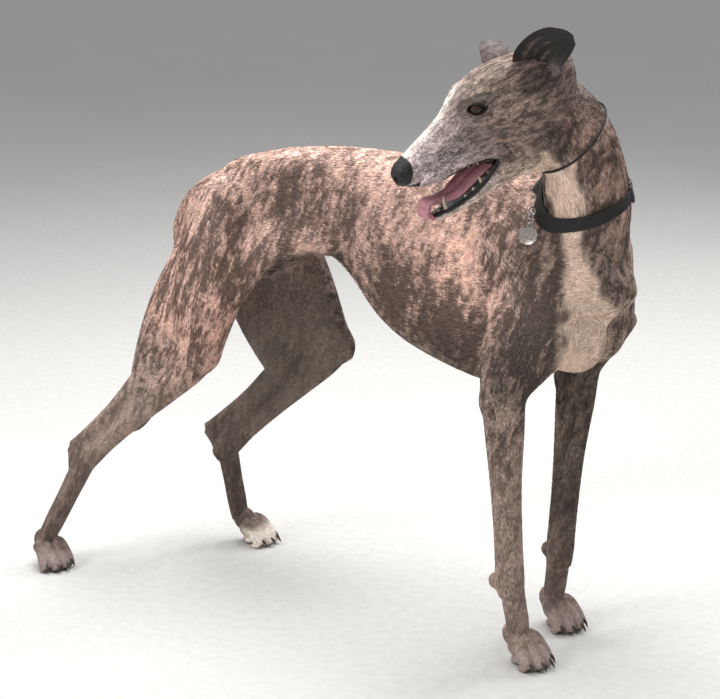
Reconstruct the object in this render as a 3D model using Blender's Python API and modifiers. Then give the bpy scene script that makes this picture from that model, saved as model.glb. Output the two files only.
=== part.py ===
"""A life-size standing greyhound that looks back over its right shoulder with its mouth open.

Metres, +Z up. The dog faces +X and its left side is +Y. The origin lies on the floor under
the middle of the whole model. Shapes are lofts through named sections and muscle ellipsoids,
fused into one flesh by a voxel Remesh, which thin cuts then part into head, neck, torso, legs
and paws.
"""

import math

import bmesh
import bpy
import numpy as np
from mathutils import Matrix, Vector
from mathutils.bvhtree import BVHTree

# Driving sizes
GAP = 0.0003
BODY_VOXEL = 0.0045
SOFT_FROM = 0.34
SOFT_FADE = 0.08
HEAD_VOXEL = 0.0024
PAW_VOXEL = 0.0019
FACES = {"body": 4700, "head": 2350, "paw": 400, "nose": 360}

# The torso from buttock to breastbone: x, top, height of the widest line, bottom, half width
TORSO = [
    (-0.624, 0.545, 0.525, 0.505, 0.012),
    (-0.611, 0.566, 0.525, 0.478, 0.036),
    (-0.580, 0.606, 0.550, 0.462, 0.056),
    (-0.545, 0.646, 0.580, 0.468, 0.070),
    (-0.500, 0.668, 0.600, 0.480, 0.074),
    (-0.450, 0.688, 0.615, 0.505, 0.068),
    (-0.395, 0.700, 0.630, 0.532, 0.060),
    (-0.330, 0.707, 0.630, 0.537, 0.060),
    (-0.260, 0.708, 0.620, 0.492, 0.070),
    (-0.190, 0.708, 0.600, 0.434, 0.081),
    (-0.120, 0.704, 0.580, 0.400, 0.088),
    (-0.050, 0.696, 0.570, 0.382, 0.088),
    (0.020, 0.655, 0.560, 0.388, 0.082),
    (0.075, 0.610, 0.550, 0.425, 0.078),
    (0.112, 0.575, 0.535, 0.468, 0.061),
    (0.135, 0.542, 0.515, 0.488, 0.032),
]
CHEST_KEEL = 0.34

# The neck: centre, half width, reach to the nape, reach to the throat, heading of the throat
NECK = [
    (-0.050, 0.000, 0.560, 0.060, 0.100, 0.085, 0),
    (0.042, 0.002, 0.590, 0.076, 0.088, 0.084, -8),
    (0.076, -0.010, 0.645, 0.063, 0.066, 0.066, -42),
    (0.084, -0.030, 0.695, 0.057, 0.057, 0.057, -80),
    (0.081, -0.056, 0.742, 0.053, 0.056, 0.052, -112),
    (0.064, -0.082, 0.782, 0.049, 0.052, 0.048, -130),
    (0.036, -0.110, 0.800, 0.042, 0.044, 0.042, -135),
]

# The skin between the front of the left thigh and the flank, mirrored for the right: middle of
# its lower edge, half width, reach up into the body and reach down
FLANK_FOLD = [
    (-0.470, 0.072, 0.462, 0.012, 0.030, 0.011),
    (-0.445, 0.068, 0.492, 0.012, 0.040, 0.011),
    (-0.415, 0.063, 0.528, 0.012, 0.050, 0.011),
    (-0.380, 0.058, 0.547, 0.012, 0.055, 0.011),
    (-0.340, 0.052, 0.556, 0.012, 0.060, 0.011),
    (-0.300, 0.048, 0.556, 0.011, 0.060, 0.011),
]

# Joints of the legs
SHOULDER_TOP = (-0.040, 0.042, 0.655)
FORE = {
    "right": {
        "shoulder": (0.078, -0.074, 0.500),
        "elbow": (-0.003, -0.088, 0.392),
        "carpus": (0.0125, -0.083, 0.128),
        "knuckle": (0.0245, -0.074, 0.048),
        "heading": -12,
    },
    "left": {
        "shoulder": (0.094, 0.082, 0.500),
        "elbow": (0.026, 0.089, 0.392),
        "carpus": (0.0170, 0.069, 0.126),
        "knuckle": (0.0080, 0.073, 0.047),
        "heading": -20,
    },
}
HIND = {
    "right": {
        "hip": (-0.505, -0.055, 0.585),
        "stifle": (-0.520, -0.094, 0.382),
        "hock": (-0.735, -0.124, 0.184),
        "heel": (-0.759, -0.125, 0.204),
        "knuckle": (-0.803, -0.151, 0.046),
        "heading": -18,
    },
    "left": {
        "hip": (-0.505, 0.055, 0.585),
        "stifle": (-0.394, 0.088, 0.372),
        "hock": (-0.608, 0.086, 0.170),
        "heel": (-0.648, 0.086, 0.198),
        "knuckle": (-0.586, 0.112, 0.048),
        "ankle": (-0.602, 0.108, 0.050),
        "heading": 8,
    },
}

# The tail, carried low between the thighs: centre and radius
TAIL = [
    (-0.572, 0.000, 0.588, 0.022),
    (-0.604, 0.000, 0.560, 0.018),
    (-0.626, 0.000, 0.505, 0.0145),
    (-0.639, 0.001, 0.440, 0.0125),
    (-0.650, 0.000, 0.375, 0.0110),
    (-0.668, -0.006, 0.310, 0.0095),
    (-0.684, -0.014, 0.255, 0.0080),
    (-0.706, -0.019, 0.222, 0.0062),
    (-0.730, -0.021, 0.206, 0.0030),
]
TAIL_SPLIT_HEIGHT = 0.400

# The head has its own frame: x to the nose, y to its left, z up, origin at the nape
HEAD_ORIGIN = (0.085, -0.065, 0.812)
HEAD_HEADING = -135
HEAD_DROP = -31
SKULL = [
    (-0.006, 0.052, 0.030, -0.015, 0.026),
    (0.018, 0.076, 0.040, -0.030, 0.043),
    (0.048, 0.089, 0.046, -0.034, 0.050),
    (0.080, 0.097, 0.050, -0.030, 0.050),
    (0.108, 0.099, 0.052, -0.018, 0.044),
    (0.134, 0.093, 0.050, -0.006, 0.035),
    (0.154, 0.081, 0.045, 0.000, 0.0295),
    (0.174, 0.073, 0.040, 0.002, 0.0265),
    (0.200, 0.066, 0.036, 0.004, 0.0240),
    (0.225, 0.060, 0.034, 0.009, 0.0215),
    (0.245, 0.055, 0.034, 0.015, 0.0190),
    (0.258, 0.050, 0.034, 0.021, 0.0155),
    (0.265, 0.043, 0.034, 0.027, 0.0080),
]
MANDIBLE = [
    (0.045, 0.010, -0.030, -0.068, 0.030),
    (0.080, 0.008, -0.028, -0.066, 0.036),
    (0.115, -0.002, -0.026, -0.054, 0.032),
    (0.145, -0.016, -0.032, -0.050, 0.026),
    (0.175, -0.026, -0.037, -0.048, 0.0215),
    (0.205, -0.031, -0.039, -0.047, 0.0180),
    (0.230, -0.032, -0.038, -0.045, 0.0145),
    (0.245, -0.029, -0.034, -0.040, 0.0090),
]
EYE_CENTRE = (0.1285, 0.0300, 0.0640)
EYE_RADIUS = 0.0120
EYE_OUTWARD = 58
EYE_SLANT = 24
TOOTH_SIDES = 5

PAINTS = {
    "coat": ((0.27, 0.20, 0.17), 0.80, 0.0),
    "ear_coat": ((0.04, 0.035, 0.035), 0.80, 0.0),
    "nose_leather": ((0.02, 0.02, 0.022), 0.40, 0.0),
    "tongue_flesh": ((0.55, 0.24, 0.25), 0.35, 0.0),
    "eye_glass": ((0.05, 0.03, 0.02), 0.08, 0.0),
    "webbing": ((0.015, 0.015, 0.017), 0.70, 0.0),
    "plastic": ((0.02, 0.02, 0.02), 0.45, 0.0),
    "tag_steel": ((0.62, 0.61, 0.58), 0.30, 1.0),
}
PAINT_OF = {
    "ear_left": "ear_coat",
    "ear_right": "ear_coat",
    "nose": "nose_leather",
    "tongue": "tongue_flesh",
    "eye_left": "eye_glass",
    "eye_right": "eye_glass",
    "collar": "webbing",
    "slip_collar": "webbing",
    "buckle": "plastic",
    "tag": "tag_steel",
    "tag_ring": "tag_steel",
    "tag_hook": "tag_steel",
    "collar_ring": "tag_steel",
}


# Materials and scene


def material(name, colour, roughness, metallic=0.0):
    made = bpy.data.materials.get(name)
    if made is None:
        made = bpy.data.materials.new(name)
        made.use_nodes = True
        shader = made.node_tree.nodes["Principled BSDF"]
        shader.inputs["Base Color"].default_value = (*colour, 1.0)
        shader.inputs["Roughness"].default_value = roughness
        shader.inputs["Metallic"].default_value = metallic
    return made


def clear_scene():
    for obj in list(bpy.data.objects):
        bpy.data.objects.remove(obj)
    for name in ("greyhound", "cutters"):
        made = bpy.data.collections.new(name)
        bpy.context.scene.collection.children.link(made)
    bpy.data.collections["cutters"].hide_render = True


def new_object(name, mesh, collection="cutters"):
    obj = bpy.data.objects.new(name, mesh)
    bpy.data.collections[collection].objects.link(obj)
    return obj


def mesh_from(name, bm):
    mesh = bpy.data.meshes.new(name)
    bm.normal_update()
    bm.to_mesh(mesh)
    bm.free()
    return new_object(name, mesh)


# Solid building blocks


def smooth_rows(rows, steps):
    """Catmull-Rom rows through the given ones, with the given steps between each pair."""
    table = np.array(rows, float)
    padded = np.vstack([2 * table[0] - table[1], table, 2 * table[-1] - table[-2]])
    made = []
    for i in range(len(table) - 1):
        p0, p1, p2, p3 = padded[i : i + 4]
        for t in np.linspace(0, 1, steps, endpoint=False):
            made.append(
                0.5
                * (
                    2 * p1
                    + (p2 - p0) * t
                    + (2 * p0 - 5 * p1 + 4 * p2 - p3) * t**2
                    + (3 * p1 - p0 - 3 * p2 + p3) * t**3
                )
            )
    made.append(table[-1])
    return np.array(made)


def loft(name, rows, sides=28, steps=5, keel=0.0, power=2.0):
    """A closed tube through rows of centre, half width, reach up, reach down and heading.

    The width runs along the left-hand side of the heading. Up is at right angles to that and
    to the path, so it's the back of a torso, the nape of a neck and the front of a leg.
    """
    fine = smooth_rows([tuple(r) + (0,) * (7 - len(r)) for r in rows], steps)
    path = fine[:, :3]
    tangents = np.gradient(path, axis=0)
    bm = bmesh.new()
    rings = []
    for row, tangent in zip(fine, tangents):
        heading = math.radians(row[6])
        forward = Vector(tangent).normalized()
        side = Vector((-math.sin(heading), math.cos(heading), 0))
        side = (side - forward * side.dot(forward)).normalized()
        up = forward.cross(side)
        ring = []
        for k in range(sides):
            angle = 2 * math.pi * k / sides
            c, s = math.cos(angle), math.sin(angle)
            c = math.copysign(abs(c) ** (2 / power), c)
            s = math.copysign(abs(s) ** (2 / power), s)
            width = row[3] * (1 - keel * max(0.0, -s))
            reach = row[4] if s > 0 else row[5]
            point = Vector(row[:3]) + side * (width * c) + up * (reach * s)
            ring.append(bm.verts.new(point))
        rings.append(ring)
    for low, high in zip(rings, rings[1:]):
        for k in range(sides):
            nxt = (k + 1) % sides
            bm.faces.new((low[k], low[nxt], high[nxt], high[k]))
    bm.faces.new(list(reversed(rings[0])))
    bm.faces.new(rings[-1])
    bmesh.ops.recalc_face_normals(bm, faces=bm.faces)
    return mesh_from(name, bm)


def profile_loft(name, rows, frame=None, **options):
    """A loft along x from rows of x, top, height of the widest line, bottom, half width."""
    made = [(x, 0, mid, half, top - mid, mid - low) for x, top, mid, low, half in rows]
    obj = loft(name, made, **options)
    if frame is not None:
        obj.data.transform(frame)
    return obj


def limb(name, start, end, sections, front_shift=0.0, **options):
    """A tapered limb from start to end: each section is share of the way, half width, front, back."""
    a, b = Vector(start), Vector(end)
    rows = []
    for share, half, front, back in sections:
        centre = a.lerp(b, share)
        centre.x += front_shift * math.sin(math.pi * min(max(share, 0), 1))
        rows.append((*centre, half, front, back))
    return loft(name, rows, **options)


def blob(name, centre, radii, turn=(0, 0, 0), segments=24):
    """An ellipsoid of the given radii, turned by angles about x, y and z in degrees."""
    bm = bmesh.new()
    bmesh.ops.create_uvsphere(bm, u_segments=segments, v_segments=segments // 2, radius=1)
    turned = Matrix.Identity(4)
    for angle, axis in zip(turn, "XYZ"):
        turned = Matrix.Rotation(math.radians(angle), 4, axis) @ turned
    size = Matrix.Diagonal((*radii, 1))
    bm.transform(Matrix.Translation(centre) @ turned @ size)
    return mesh_from(name, bm)


def tube(name, points, radii, sides=10, steps=4):
    """A round tube through points, of the radii given for them."""
    rows = [(*p, r, r, r) for p, r in zip(points, radii)]
    fine = smooth_rows(rows, steps)
    bm = bmesh.new()
    rings = []
    tangents = np.gradient(fine[:, :3], axis=0)
    side = Vector(tangents[0]).orthogonal().normalized()
    for row, tangent in zip(fine, tangents):
        forward = Vector(tangent).normalized()
        side = (side - forward * side.dot(forward)).normalized()
        up = forward.cross(side)
        angles = [2 * math.pi * k / sides for k in range(sides)]
        rings.append(
            [
                bm.verts.new(Vector(row[:3]) + (side * math.cos(a) + up * math.sin(a)) * row[3])
                for a in angles
            ]
        )
    for low, high in zip(rings, rings[1:]):
        for k in range(sides):
            nxt = (k + 1) % sides
            bm.faces.new((low[k], low[nxt], high[nxt], high[k]))
    bm.faces.new(list(reversed(rings[0])))
    bm.faces.new(rings[-1])
    bmesh.ops.recalc_face_normals(bm, faces=bm.faces)
    return mesh_from(name, bm)


def slab(name, outline, low, high, grow=0.0):
    """A prism: an outline of x and z, moved out by grow, extruded from y low to y high."""
    points = [Vector(p) for p in outline]
    count = len(points)
    area = sum(points[i].cross(points[(i + 1) % count]) for i in range(count))
    turn = 1 if area > 0 else -1
    moved = []
    for i, point in enumerate(points):
        before = (point - points[i - 1]).normalized()
        after = (points[(i + 1) % count] - point).normalized()
        n1 = Vector((before.y, -before.x)) * turn
        n2 = Vector((after.y, -after.x)) * turn
        middle = (n1 + n2).normalized()
        moved.append(point + middle * (grow / max(0.3, middle.dot(n1))))
    bm = bmesh.new()
    face = bm.faces.new([bm.verts.new((p.x, low - grow, p.y)) for p in moved])
    made = bmesh.ops.extrude_face_region(bm, geom=[face])
    lifted = [v for v in made["geom"] if isinstance(v, bmesh.types.BMVert)]
    bmesh.ops.translate(bm, verts=lifted, vec=(0, high - low + 2 * grow, 0))
    bmesh.ops.recalc_face_normals(bm, faces=bm.faces)
    return mesh_from(name, bm)


def block(name, low, high, frame=None):
    """A box between two corners, in a frame of its own."""
    bm = bmesh.new()
    bmesh.ops.create_cube(bm, size=1)
    centre = [(a + b) / 2 for a, b in zip(low, high)]
    size = [b - a for a, b in zip(low, high)]
    matrix = Matrix.Translation(centre) @ Matrix.Diagonal((*size, 1))
    bm.transform(matrix if frame is None else frame @ matrix)
    return mesh_from(name, bm)


# Joining, parting and thinning


def evaluated_copy(obj, name):
    bpy.context.view_layer.update()
    graph = bpy.context.evaluated_depsgraph_get()
    mesh = bpy.data.meshes.new_from_object(obj.evaluated_get(graph))
    mesh.transform(obj.matrix_world)
    return new_object(name, mesh)


def remove(*objects):
    for obj in objects:
        bpy.data.objects.remove(obj)


def copy_of(obj, name):
    return new_object(name, obj.data.copy())


def keep_largest(obj):
    """Drops all but the largest closed surface."""
    bm = bmesh.new()
    bm.from_mesh(obj.data)
    seen, shells = set(), []
    for face in bm.faces:
        if face in seen:
            continue
        shell, queue = [], [face]
        seen.add(face)
        while queue:
            now = queue.pop()
            shell.append(now)
            for edge in now.edges:
                for other in edge.link_faces:
                    if other not in seen:
                        seen.add(other)
                        queue.append(other)
        shells.append(shell)
    shells.sort(key=lambda s: sum(f.calc_area() for f in s))
    for shell in shells[:-1]:
        bmesh.ops.delete(bm, geom=shell, context="FACES")
    bm.to_mesh(obj.data)
    bm.free()
    return obj


def soften(obj, rounds, weight):
    """Smooths a mesh by so many rounds, each vertex by its own weight."""
    group = obj.vertex_groups.new(name="soften")
    for vertex in obj.data.vertices:
        share = weight(vertex.co)
        if share > 0:
            group.add([vertex.index], share, "REPLACE")
    soft = obj.modifiers.new("Soften", "SMOOTH")
    soft.factor = 0.5
    soft.iterations = rounds
    soft.vertex_group = "soften"
    made = evaluated_copy(obj, obj.name + "_soft")
    remove(obj)
    return made


def fuse(name, pieces, voxel, smoothing):
    """One closed skin round overlapping pieces, with its creases rounded."""
    bm = bmesh.new()
    for piece in pieces:
        bm.from_mesh(piece.data)
    joined = mesh_from(name + "_pieces", bm)
    remesh = joined.modifiers.new("Remesh", "REMESH")
    remesh.mode = "VOXEL"
    remesh.voxel_size = voxel
    soft = joined.modifiers.new("Smooth", "SMOOTH")
    soft.factor = 0.5
    soft.iterations = smoothing
    made = evaluated_copy(joined, name)
    remove(joined, *pieces)
    return keep_largest(made)


def thin(obj, triangles):
    """The same shape in about so many triangles."""
    obj.data.calc_loop_triangles()
    have = len(obj.data.loop_triangles)
    fewer = obj.modifiers.new("Decimate", "DECIMATE")
    fewer.ratio = min(1.0, triangles / have)
    fewer.use_collapse_triangulate = True
    made = evaluated_copy(obj, obj.name + "_thin")
    remove(obj)
    return made


def combine(obj, cutter, operation, name, solver="MANIFOLD"):
    """A new object: obj cut, joined or crossed with the cutter."""
    base = copy_of(obj, name)
    step = base.modifiers.new("Boolean", "BOOLEAN")
    step.operation = operation
    step.solver = solver
    step.object = cutter
    made = evaluated_copy(base, name + "_made")
    remove(base)
    return keep_largest(made)


def swollen(obj, by):
    """A copy of obj whose surface has moved out by a small amount."""
    made = copy_of(obj, obj.name + "_swollen")
    push = made.modifiers.new("Displace", "DISPLACE")
    push.mid_level = 0
    push.strength = by
    out = evaluated_copy(made, obj.name + "_swollen")
    remove(made)
    return out


def clear_of(obj, neighbour):
    """obj with the neighbour and a thin gap taken from it."""
    cutter = swollen(neighbour, GAP)
    made = combine(obj, cutter, "DIFFERENCE", obj.name)
    remove(cutter, obj)
    return made


def finish(obj, name, paint, smooth=True):
    """The finished node: its name, material, shading and place in the collection."""
    bpy.data.collections["cutters"].objects.unlink(obj)
    bpy.data.collections["greyhound"].objects.link(obj)
    obj.name = name
    obj.data.name = name
    obj.data.materials.clear()
    obj.data.materials.append(paint)
    if smooth:
        obj.data.shade_smooth()
        obj.data.set_sharp_from_angle(angle=math.radians(50))
    return obj


# The body


def torso_pieces():
    pieces = [profile_loft("torso_form", TORSO, keel=CHEST_KEEL, sides=36)]
    pieces.append(loft("neck_form", NECK, sides=32))
    for side in (-1, 1):
        pieces.append(blob("loin_muscle", (-0.35, 0.030 * side, 0.662), (0.17, 0.030, 0.038)))
        pieces.append(blob("rump_muscle", (-0.510, 0.040 * side, 0.600), (0.080, 0.044, 0.056), (0, -20, 0)))
        fold = [(x, y * side, *rest) for x, y, *rest in FLANK_FOLD]
        pieces.append(loft("flank_fold", fold, sides=28))
        breast = (0.070, 0.032 * side, 0.480)
        pieces.append(blob("breast_muscle", breast, (0.054, 0.036, 0.060), (0, -30, 0)))
        pieces.append(blob("neck_root", (0.060, 0.040 * side, 0.575), (0.070, 0.040, 0.070), (0, 20, 0)))
    pieces.append(blob("withers", (-0.040, 0, 0.668), (0.085, 0.034, 0.030)))
    return pieces


def foreleg_pieces(name, joints):
    side = -1 if name == "right" else 1
    shoulder, elbow, carpus = (Vector(joints[k]) for k in ("shoulder", "elbow", "carpus"))
    knuckle = Vector(joints["knuckle"])
    top = Vector(SHOULDER_TOP)
    top.y *= side
    blade = [(0.0, 0.016, 0.030, 0.030), (0.30, 0.026, 0.042, 0.052), (0.65, 0.031, 0.044, 0.052)]
    blade.append((1.0, 0.028, 0.034, 0.040))
    arm = [(0.0, 0.030, 0.036, 0.036), (0.45, 0.033, 0.034, 0.048), (0.85, 0.029, 0.028, 0.036)]
    arm.append((1.12, 0.020, 0.022, 0.024))
    forearm = [
        (-0.14, 0.025, 0.036, 0.032),
        (0.06, 0.0250, 0.0345, 0.0310),
        (0.22, 0.0230, 0.0300, 0.0280),
        (0.45, 0.0200, 0.0240, 0.0245),
        (0.68, 0.0185, 0.0218, 0.0222),
        (0.86, 0.0190, 0.0212, 0.0218),
        (1.00, 0.0205, 0.0215, 0.0215),
        (1.10, 0.0190, 0.0200, 0.0195),
    ]
    pastern = [
        (-0.20, 0.0190, 0.0200, 0.0200),
        (0.15, 0.0185, 0.0185, 0.0190),
        (0.55, 0.0180, 0.0165, 0.0175),
        (0.85, 0.0195, 0.0155, 0.0170),
        (1.08, 0.0185, 0.0120, 0.0130),
    ]
    pieces = [
        limb("blade", top, shoulder, blade),
        limb("upper_arm", shoulder, elbow, arm),
        limb("forearm", elbow, carpus, forearm),
        limb("pastern", carpus, knuckle, pastern),
        blob("triceps", elbow + Vector((0.002, -0.004 * side, 0.068)), (0.040, 0.026, 0.080), (0, 14, 0)),
        blob("elbow_point", elbow + Vector((-0.026, 0.0, -0.006)), (0.014, 0.012, 0.024), (0, 8, 0)),
        blob("wrist_bone", carpus + Vector((-0.022, 0.003 * side, -0.008)), (0.011, 0.009, 0.013)),
        blob("wrist_front", carpus + Vector((0.006, 0.0, 0.002)), (0.015, 0.017, 0.022)),
    ]
    return pieces


def hindleg_pieces(name, joints):
    side = -1 if name == "right" else 1
    hip, stifle, hock, heel = (Vector(joints[k]) for k in ("hip", "stifle", "hock", "heel"))
    knuckle = Vector(joints["knuckle"])
    seat = Vector((-0.562, 0.040 * side, 0.535))
    calf_back = stifle.lerp(hock, 0.32) + Vector((-0.034, 0.0, 0.015))
    web = [(0, 0.012, 0.012, 0.034), (1, 0.0085, 0.010, (heel - hock).length * 0.78)]
    heel_bone = [(0, 0.0105, 0.0105, 0.0105), (1, 0.0130, 0.014, 0.014)]
    thigh = [
        (-0.10, 0.034, 0.050, 0.045),
        (0.20, 0.042, 0.062, 0.064),
        (0.50, 0.041, 0.058, 0.072),
        (0.80, 0.034, 0.044, 0.064),
        (1.00, 0.027, 0.031, 0.048),
        (1.12, 0.020, 0.022, 0.028),
    ]
    ham = [(-0.15, 0.024, 0.030, 0.032), (0.30, 0.034, 0.050, 0.044), (0.65, 0.032, 0.048, 0.042)]
    ham.append((1.0, 0.023, 0.034, 0.026))
    gaskin = [
        (-0.10, 0.022, 0.026, 0.030),
        (0.10, 0.025, 0.030, 0.034),
        (0.30, 0.023, 0.026, 0.032),
        (0.55, 0.0180, 0.0200, 0.0230),
        (0.80, 0.0160, 0.0170, 0.0170),
        (1.00, 0.0175, 0.0195, 0.0180),
        (1.08, 0.0165, 0.0180, 0.0170),
    ]
    cannon = [
        (-0.16, 0.0170, 0.0185, 0.0195),
        (0.10, 0.0170, 0.0175, 0.0195),
        (0.45, 0.0160, 0.0160, 0.0175),
        (0.80, 0.0175, 0.0150, 0.0165),
        (1.06, 0.0180, 0.0120, 0.0130),
    ]
    tendon = [calf_back, calf_back.lerp(heel, 0.45), heel.lerp(calf_back, 0.12), heel]
    pieces = [
        limb("thigh", hip, stifle, thigh),
        limb("ham", seat, calf_back, ham),
        limb("gaskin", stifle, hock, gaskin),
        limb("cannon", hock, Vector(joints.get("ankle", knuckle)), cannon),
        tube("tendon", tendon, (0.022, 0.0110, 0.0095, 0.0110)),
        limb("web", stifle.lerp(hock, 0.25), hock, web),
        blob("thigh_back", seat.lerp(stifle, 0.55), (0.050, 0.026, 0.060)),
        blob("knee_back", stifle.lerp(calf_back, 0.6) + Vector((0, 0, 0.020)), (0.030, 0.016, 0.030)),
        limb("heel_bone", heel, hock.lerp(knuckle, 0.22), heel_bone),
        blob("kneecap", stifle + Vector((0.018, 0.0, 0.006)), (0.020, 0.019, 0.028)),
    ]
    return pieces


def body_flesh(voxel, smoothing):
    pieces = torso_pieces()
    for name, joints in FORE.items():
        pieces += foreleg_pieces(name, joints)
    for name, joints in HIND.items():
        pieces += hindleg_pieces(name, joints)
    whole = fuse("body_flesh", pieces, voxel, 3)
    return soften(whole, smoothing, lambda p: min(max((p.z - SOFT_FROM) / SOFT_FADE, 0.0), 1.0))


# Paws

TOES = [(-0.0175, -0.010, -9), (-0.0062, 0.0, -3), (0.0062, 0.0, 3), (0.0175, -0.010, 9)]
TOE_HALF = 0.0078
FORE_TOE_REACH = 0.047
HIND_TOE_REACH = 0.045
PAW_CUT_HEIGHT = 0.060


def paw_frame(joints):
    knuckle = Vector(joints["knuckle"])
    turn = Matrix.Rotation(math.radians(joints["heading"]), 4, "Z")
    return Matrix.Translation((knuckle.x, knuckle.y, 0)) @ turn


def toe_rows(offset, back, splay, reach):
    """One arched toe from the knuckle to the tip, in the paw's frame."""
    spread = math.tan(math.radians(splay))
    rows = []
    shape = [
        (-0.006, 0.036, 0.0090, 0.0110, 0.0110),
        (0.30, 0.0350, 0.0088, 0.0105, 0.0120),
        (0.55, 0.0275, 0.0087, 0.0110, 0.0120),
        (0.80, 0.0165, 0.0085, 0.0105, 0.0125),
        (0.98, 0.0100, 0.0070, 0.0075, 0.0105),
        (1.08, 0.0070, 0.0040, 0.0045, 0.0060),
    ]
    for share, height, half, up, down in shape:
        ahead = (reach + back) * share
        rows.append((ahead, offset + ahead * spread, height, half, up, down))
    return rows


def paw_pieces(joints, reach):
    frame = paw_frame(joints)
    pieces = []
    for offset, back, splay in TOES:
        toe = loft("toe", toe_rows(offset, back, splay, reach), sides=16, steps=4)
        tip = (reach + back) * 0.86
        drift = offset + tip * math.tan(math.radians(splay))
        pad = blob("toe_pad", (tip - 0.004, drift, 0.0030), (0.0095, 0.0066, 0.0055))
        pieces += [toe, pad]
    pieces.append(blob("sole_pad", (0.006, 0, 0.0055), (0.015, 0.017, 0.0085)))
    pieces.append(blob("paw_core", (0.004, 0, 0.026), (0.020, 0.0205, 0.018)))
    pieces.append(blob("web", (0.024, 0, 0.018), (0.020, 0.021, 0.0125), (0, 16, 0)))
    pieces.append(blob("ankle_form", (-0.008, 0, 0.040), (0.020, 0.0165, 0.020)))
    for piece in pieces:
        piece.data.transform(frame)
    return pieces


def claw(frame, offset, back, splay, reach):
    tip = (reach + back) * 1.02
    drift = offset + tip * math.tan(math.radians(splay))
    ahead = (tip - 0.008, tip - 0.001, tip + 0.006, tip + 0.0105)
    height = (0.0150, 0.0145, 0.0100, 0.0045)
    points = [frame @ Vector((a, drift, h)) for a, h in zip(ahead, height)]
    return tube("claw", points, (0.0026, 0.0026, 0.0020, 0.0006), sides=6, steps=1)


def leg_end_pieces(kind, joints):
    """The last stretch of the leg again, so that paw and leg agree at the cut."""
    whole = foreleg_pieces if kind == "fore" else hindleg_pieces
    name = "right" if joints["knuckle"][1] < 0 else "left"
    kept = []
    for piece in whole(name, joints):
        if piece.name.startswith(("pastern", "cannon")):
            kept.append(piece)
        else:
            remove(piece)
    return kept


def paw_flesh(kind, joints, voxel, smoothing):
    reach = FORE_TOE_REACH if kind == "fore" else HIND_TOE_REACH
    pieces = paw_pieces(joints, reach) + leg_end_pieces(kind, joints)
    return fuse("paw_flesh", pieces, voxel, smoothing)


# Head


def head_frame():
    heading = Matrix.Rotation(math.radians(HEAD_HEADING), 4, "Z")
    drop = Matrix.Rotation(math.radians(-HEAD_DROP), 4, "Y")
    return Matrix.Translation(HEAD_ORIGIN) @ heading @ drop


def eye_matrix(side):
    """The eye's own frame: x looks out of the eye, z up."""
    centre = Vector(EYE_CENTRE)
    centre.y *= side
    turn = Matrix.Rotation(math.radians(EYE_OUTWARD * side), 4, "Z")
    return head_frame() @ Matrix.Translation(centre) @ turn


def head_pieces():
    frame = head_frame()
    pieces = [
        profile_loft("skull", SKULL, frame, sides=32, power=2.15),
        profile_loft("mandible", MANDIBLE, frame, sides=24, power=2.2),
    ]
    for side in (-1, 1):
        forms = [
            ("cheek", (0.070, 0.028 * side, 0.000), (0.046, 0.021, 0.046), (0, -20, 0)),
            ("cheekbone", (0.102, 0.034 * side, 0.038), (0.040, 0.012, 0.015), (0, 12, -14 * side)),
            ("brow", (0.133, 0.021 * side, 0.0800), (0.021, 0.013, 0.012), (0, 22, 0)),
            ("temple", (0.080, 0.028 * side, 0.070), (0.036, 0.018, 0.022), (0, 5, 0)),
            ("socket_rim", (0.1285, 0.0290 * side, 0.0640), (0.0190, 0.0135, 0.0160), (0, 0, 0)),
            ("lip_corner", (0.128, 0.0235 * side, -0.006), (0.017, 0.005, 0.013), (0, 0, 10 * side)),
            ("lip_side", (0.205, 0.0185 * side, 0.0140), (0.045, 0.0050, 0.0125), (0, 4, 4 * side)),
        ]
        for name, centre, radii, turn in forms:
            piece = blob(name, centre, radii, turn)
            piece.data.transform(frame)
            pieces.append(piece)
    return pieces


def mouth_cutter():
    """The space of the open mouth: a wedge between the lips that ends at their corner."""
    frame = head_frame()
    rows = [
        (0.128, 0.000, -0.010, -0.018, 0.021),
        (0.145, 0.010, -0.008, -0.026, 0.0205),
        (0.170, 0.014, -0.010, -0.036, 0.0180),
        (0.200, 0.016, -0.010, -0.040, 0.0150),
        (0.225, 0.016, -0.008, -0.039, 0.0115),
        (0.238, 0.014, -0.008, -0.034, 0.0070),
    ]
    return profile_loft("mouth_space", rows, frame, sides=20)


def mouth_gap():
    """The opening between the lips, right across the face."""
    frame = head_frame()
    outline = [(0.1385, -0.0105), (0.158, -0.002), (0.190, 0.0035), (0.215, 0.0050), (0.236, 0.0120)]
    outline += [(0.300, 0.020), (0.300, -0.020), (0.252, -0.0240), (0.236, -0.0290)]
    outline += [(0.205, -0.0300), (0.175, -0.0270), (0.150, -0.0200)]
    obj = slab("mouth_gap", outline, -0.08, 0.08)
    obj.data.transform(frame)
    return obj


def head_flesh(voxel, smoothing):
    pieces = head_pieces() + [loft("neck_form", NECK, sides=32)]
    whole = fuse("head_flesh", pieces, voxel, smoothing)
    for cutter in (mouth_gap(), mouth_cutter()):
        cut = combine(whole, cutter, "DIFFERENCE", "head_flesh")
        remove(whole, cutter)
        whole = cut
    return fuse("head_flesh", [whole], voxel, 2)


def tooth(centre, length, radius, lean=(0, 0)):
    """A pointed tooth in the head's frame, from its root to its tip."""
    x, y, z = centre
    points = [(x, y, z), (x + lean[0] * 0.5, y + lean[1] * 0.5, z + length * 0.55)]
    points.append((x + lean[0], y + lean[1], z + length))
    obj = tube("tooth", points, (radius, radius * 0.72, radius * 0.18), sides=TOOTH_SIDES, steps=1)
    obj.data.transform(head_frame())
    return obj


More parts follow.
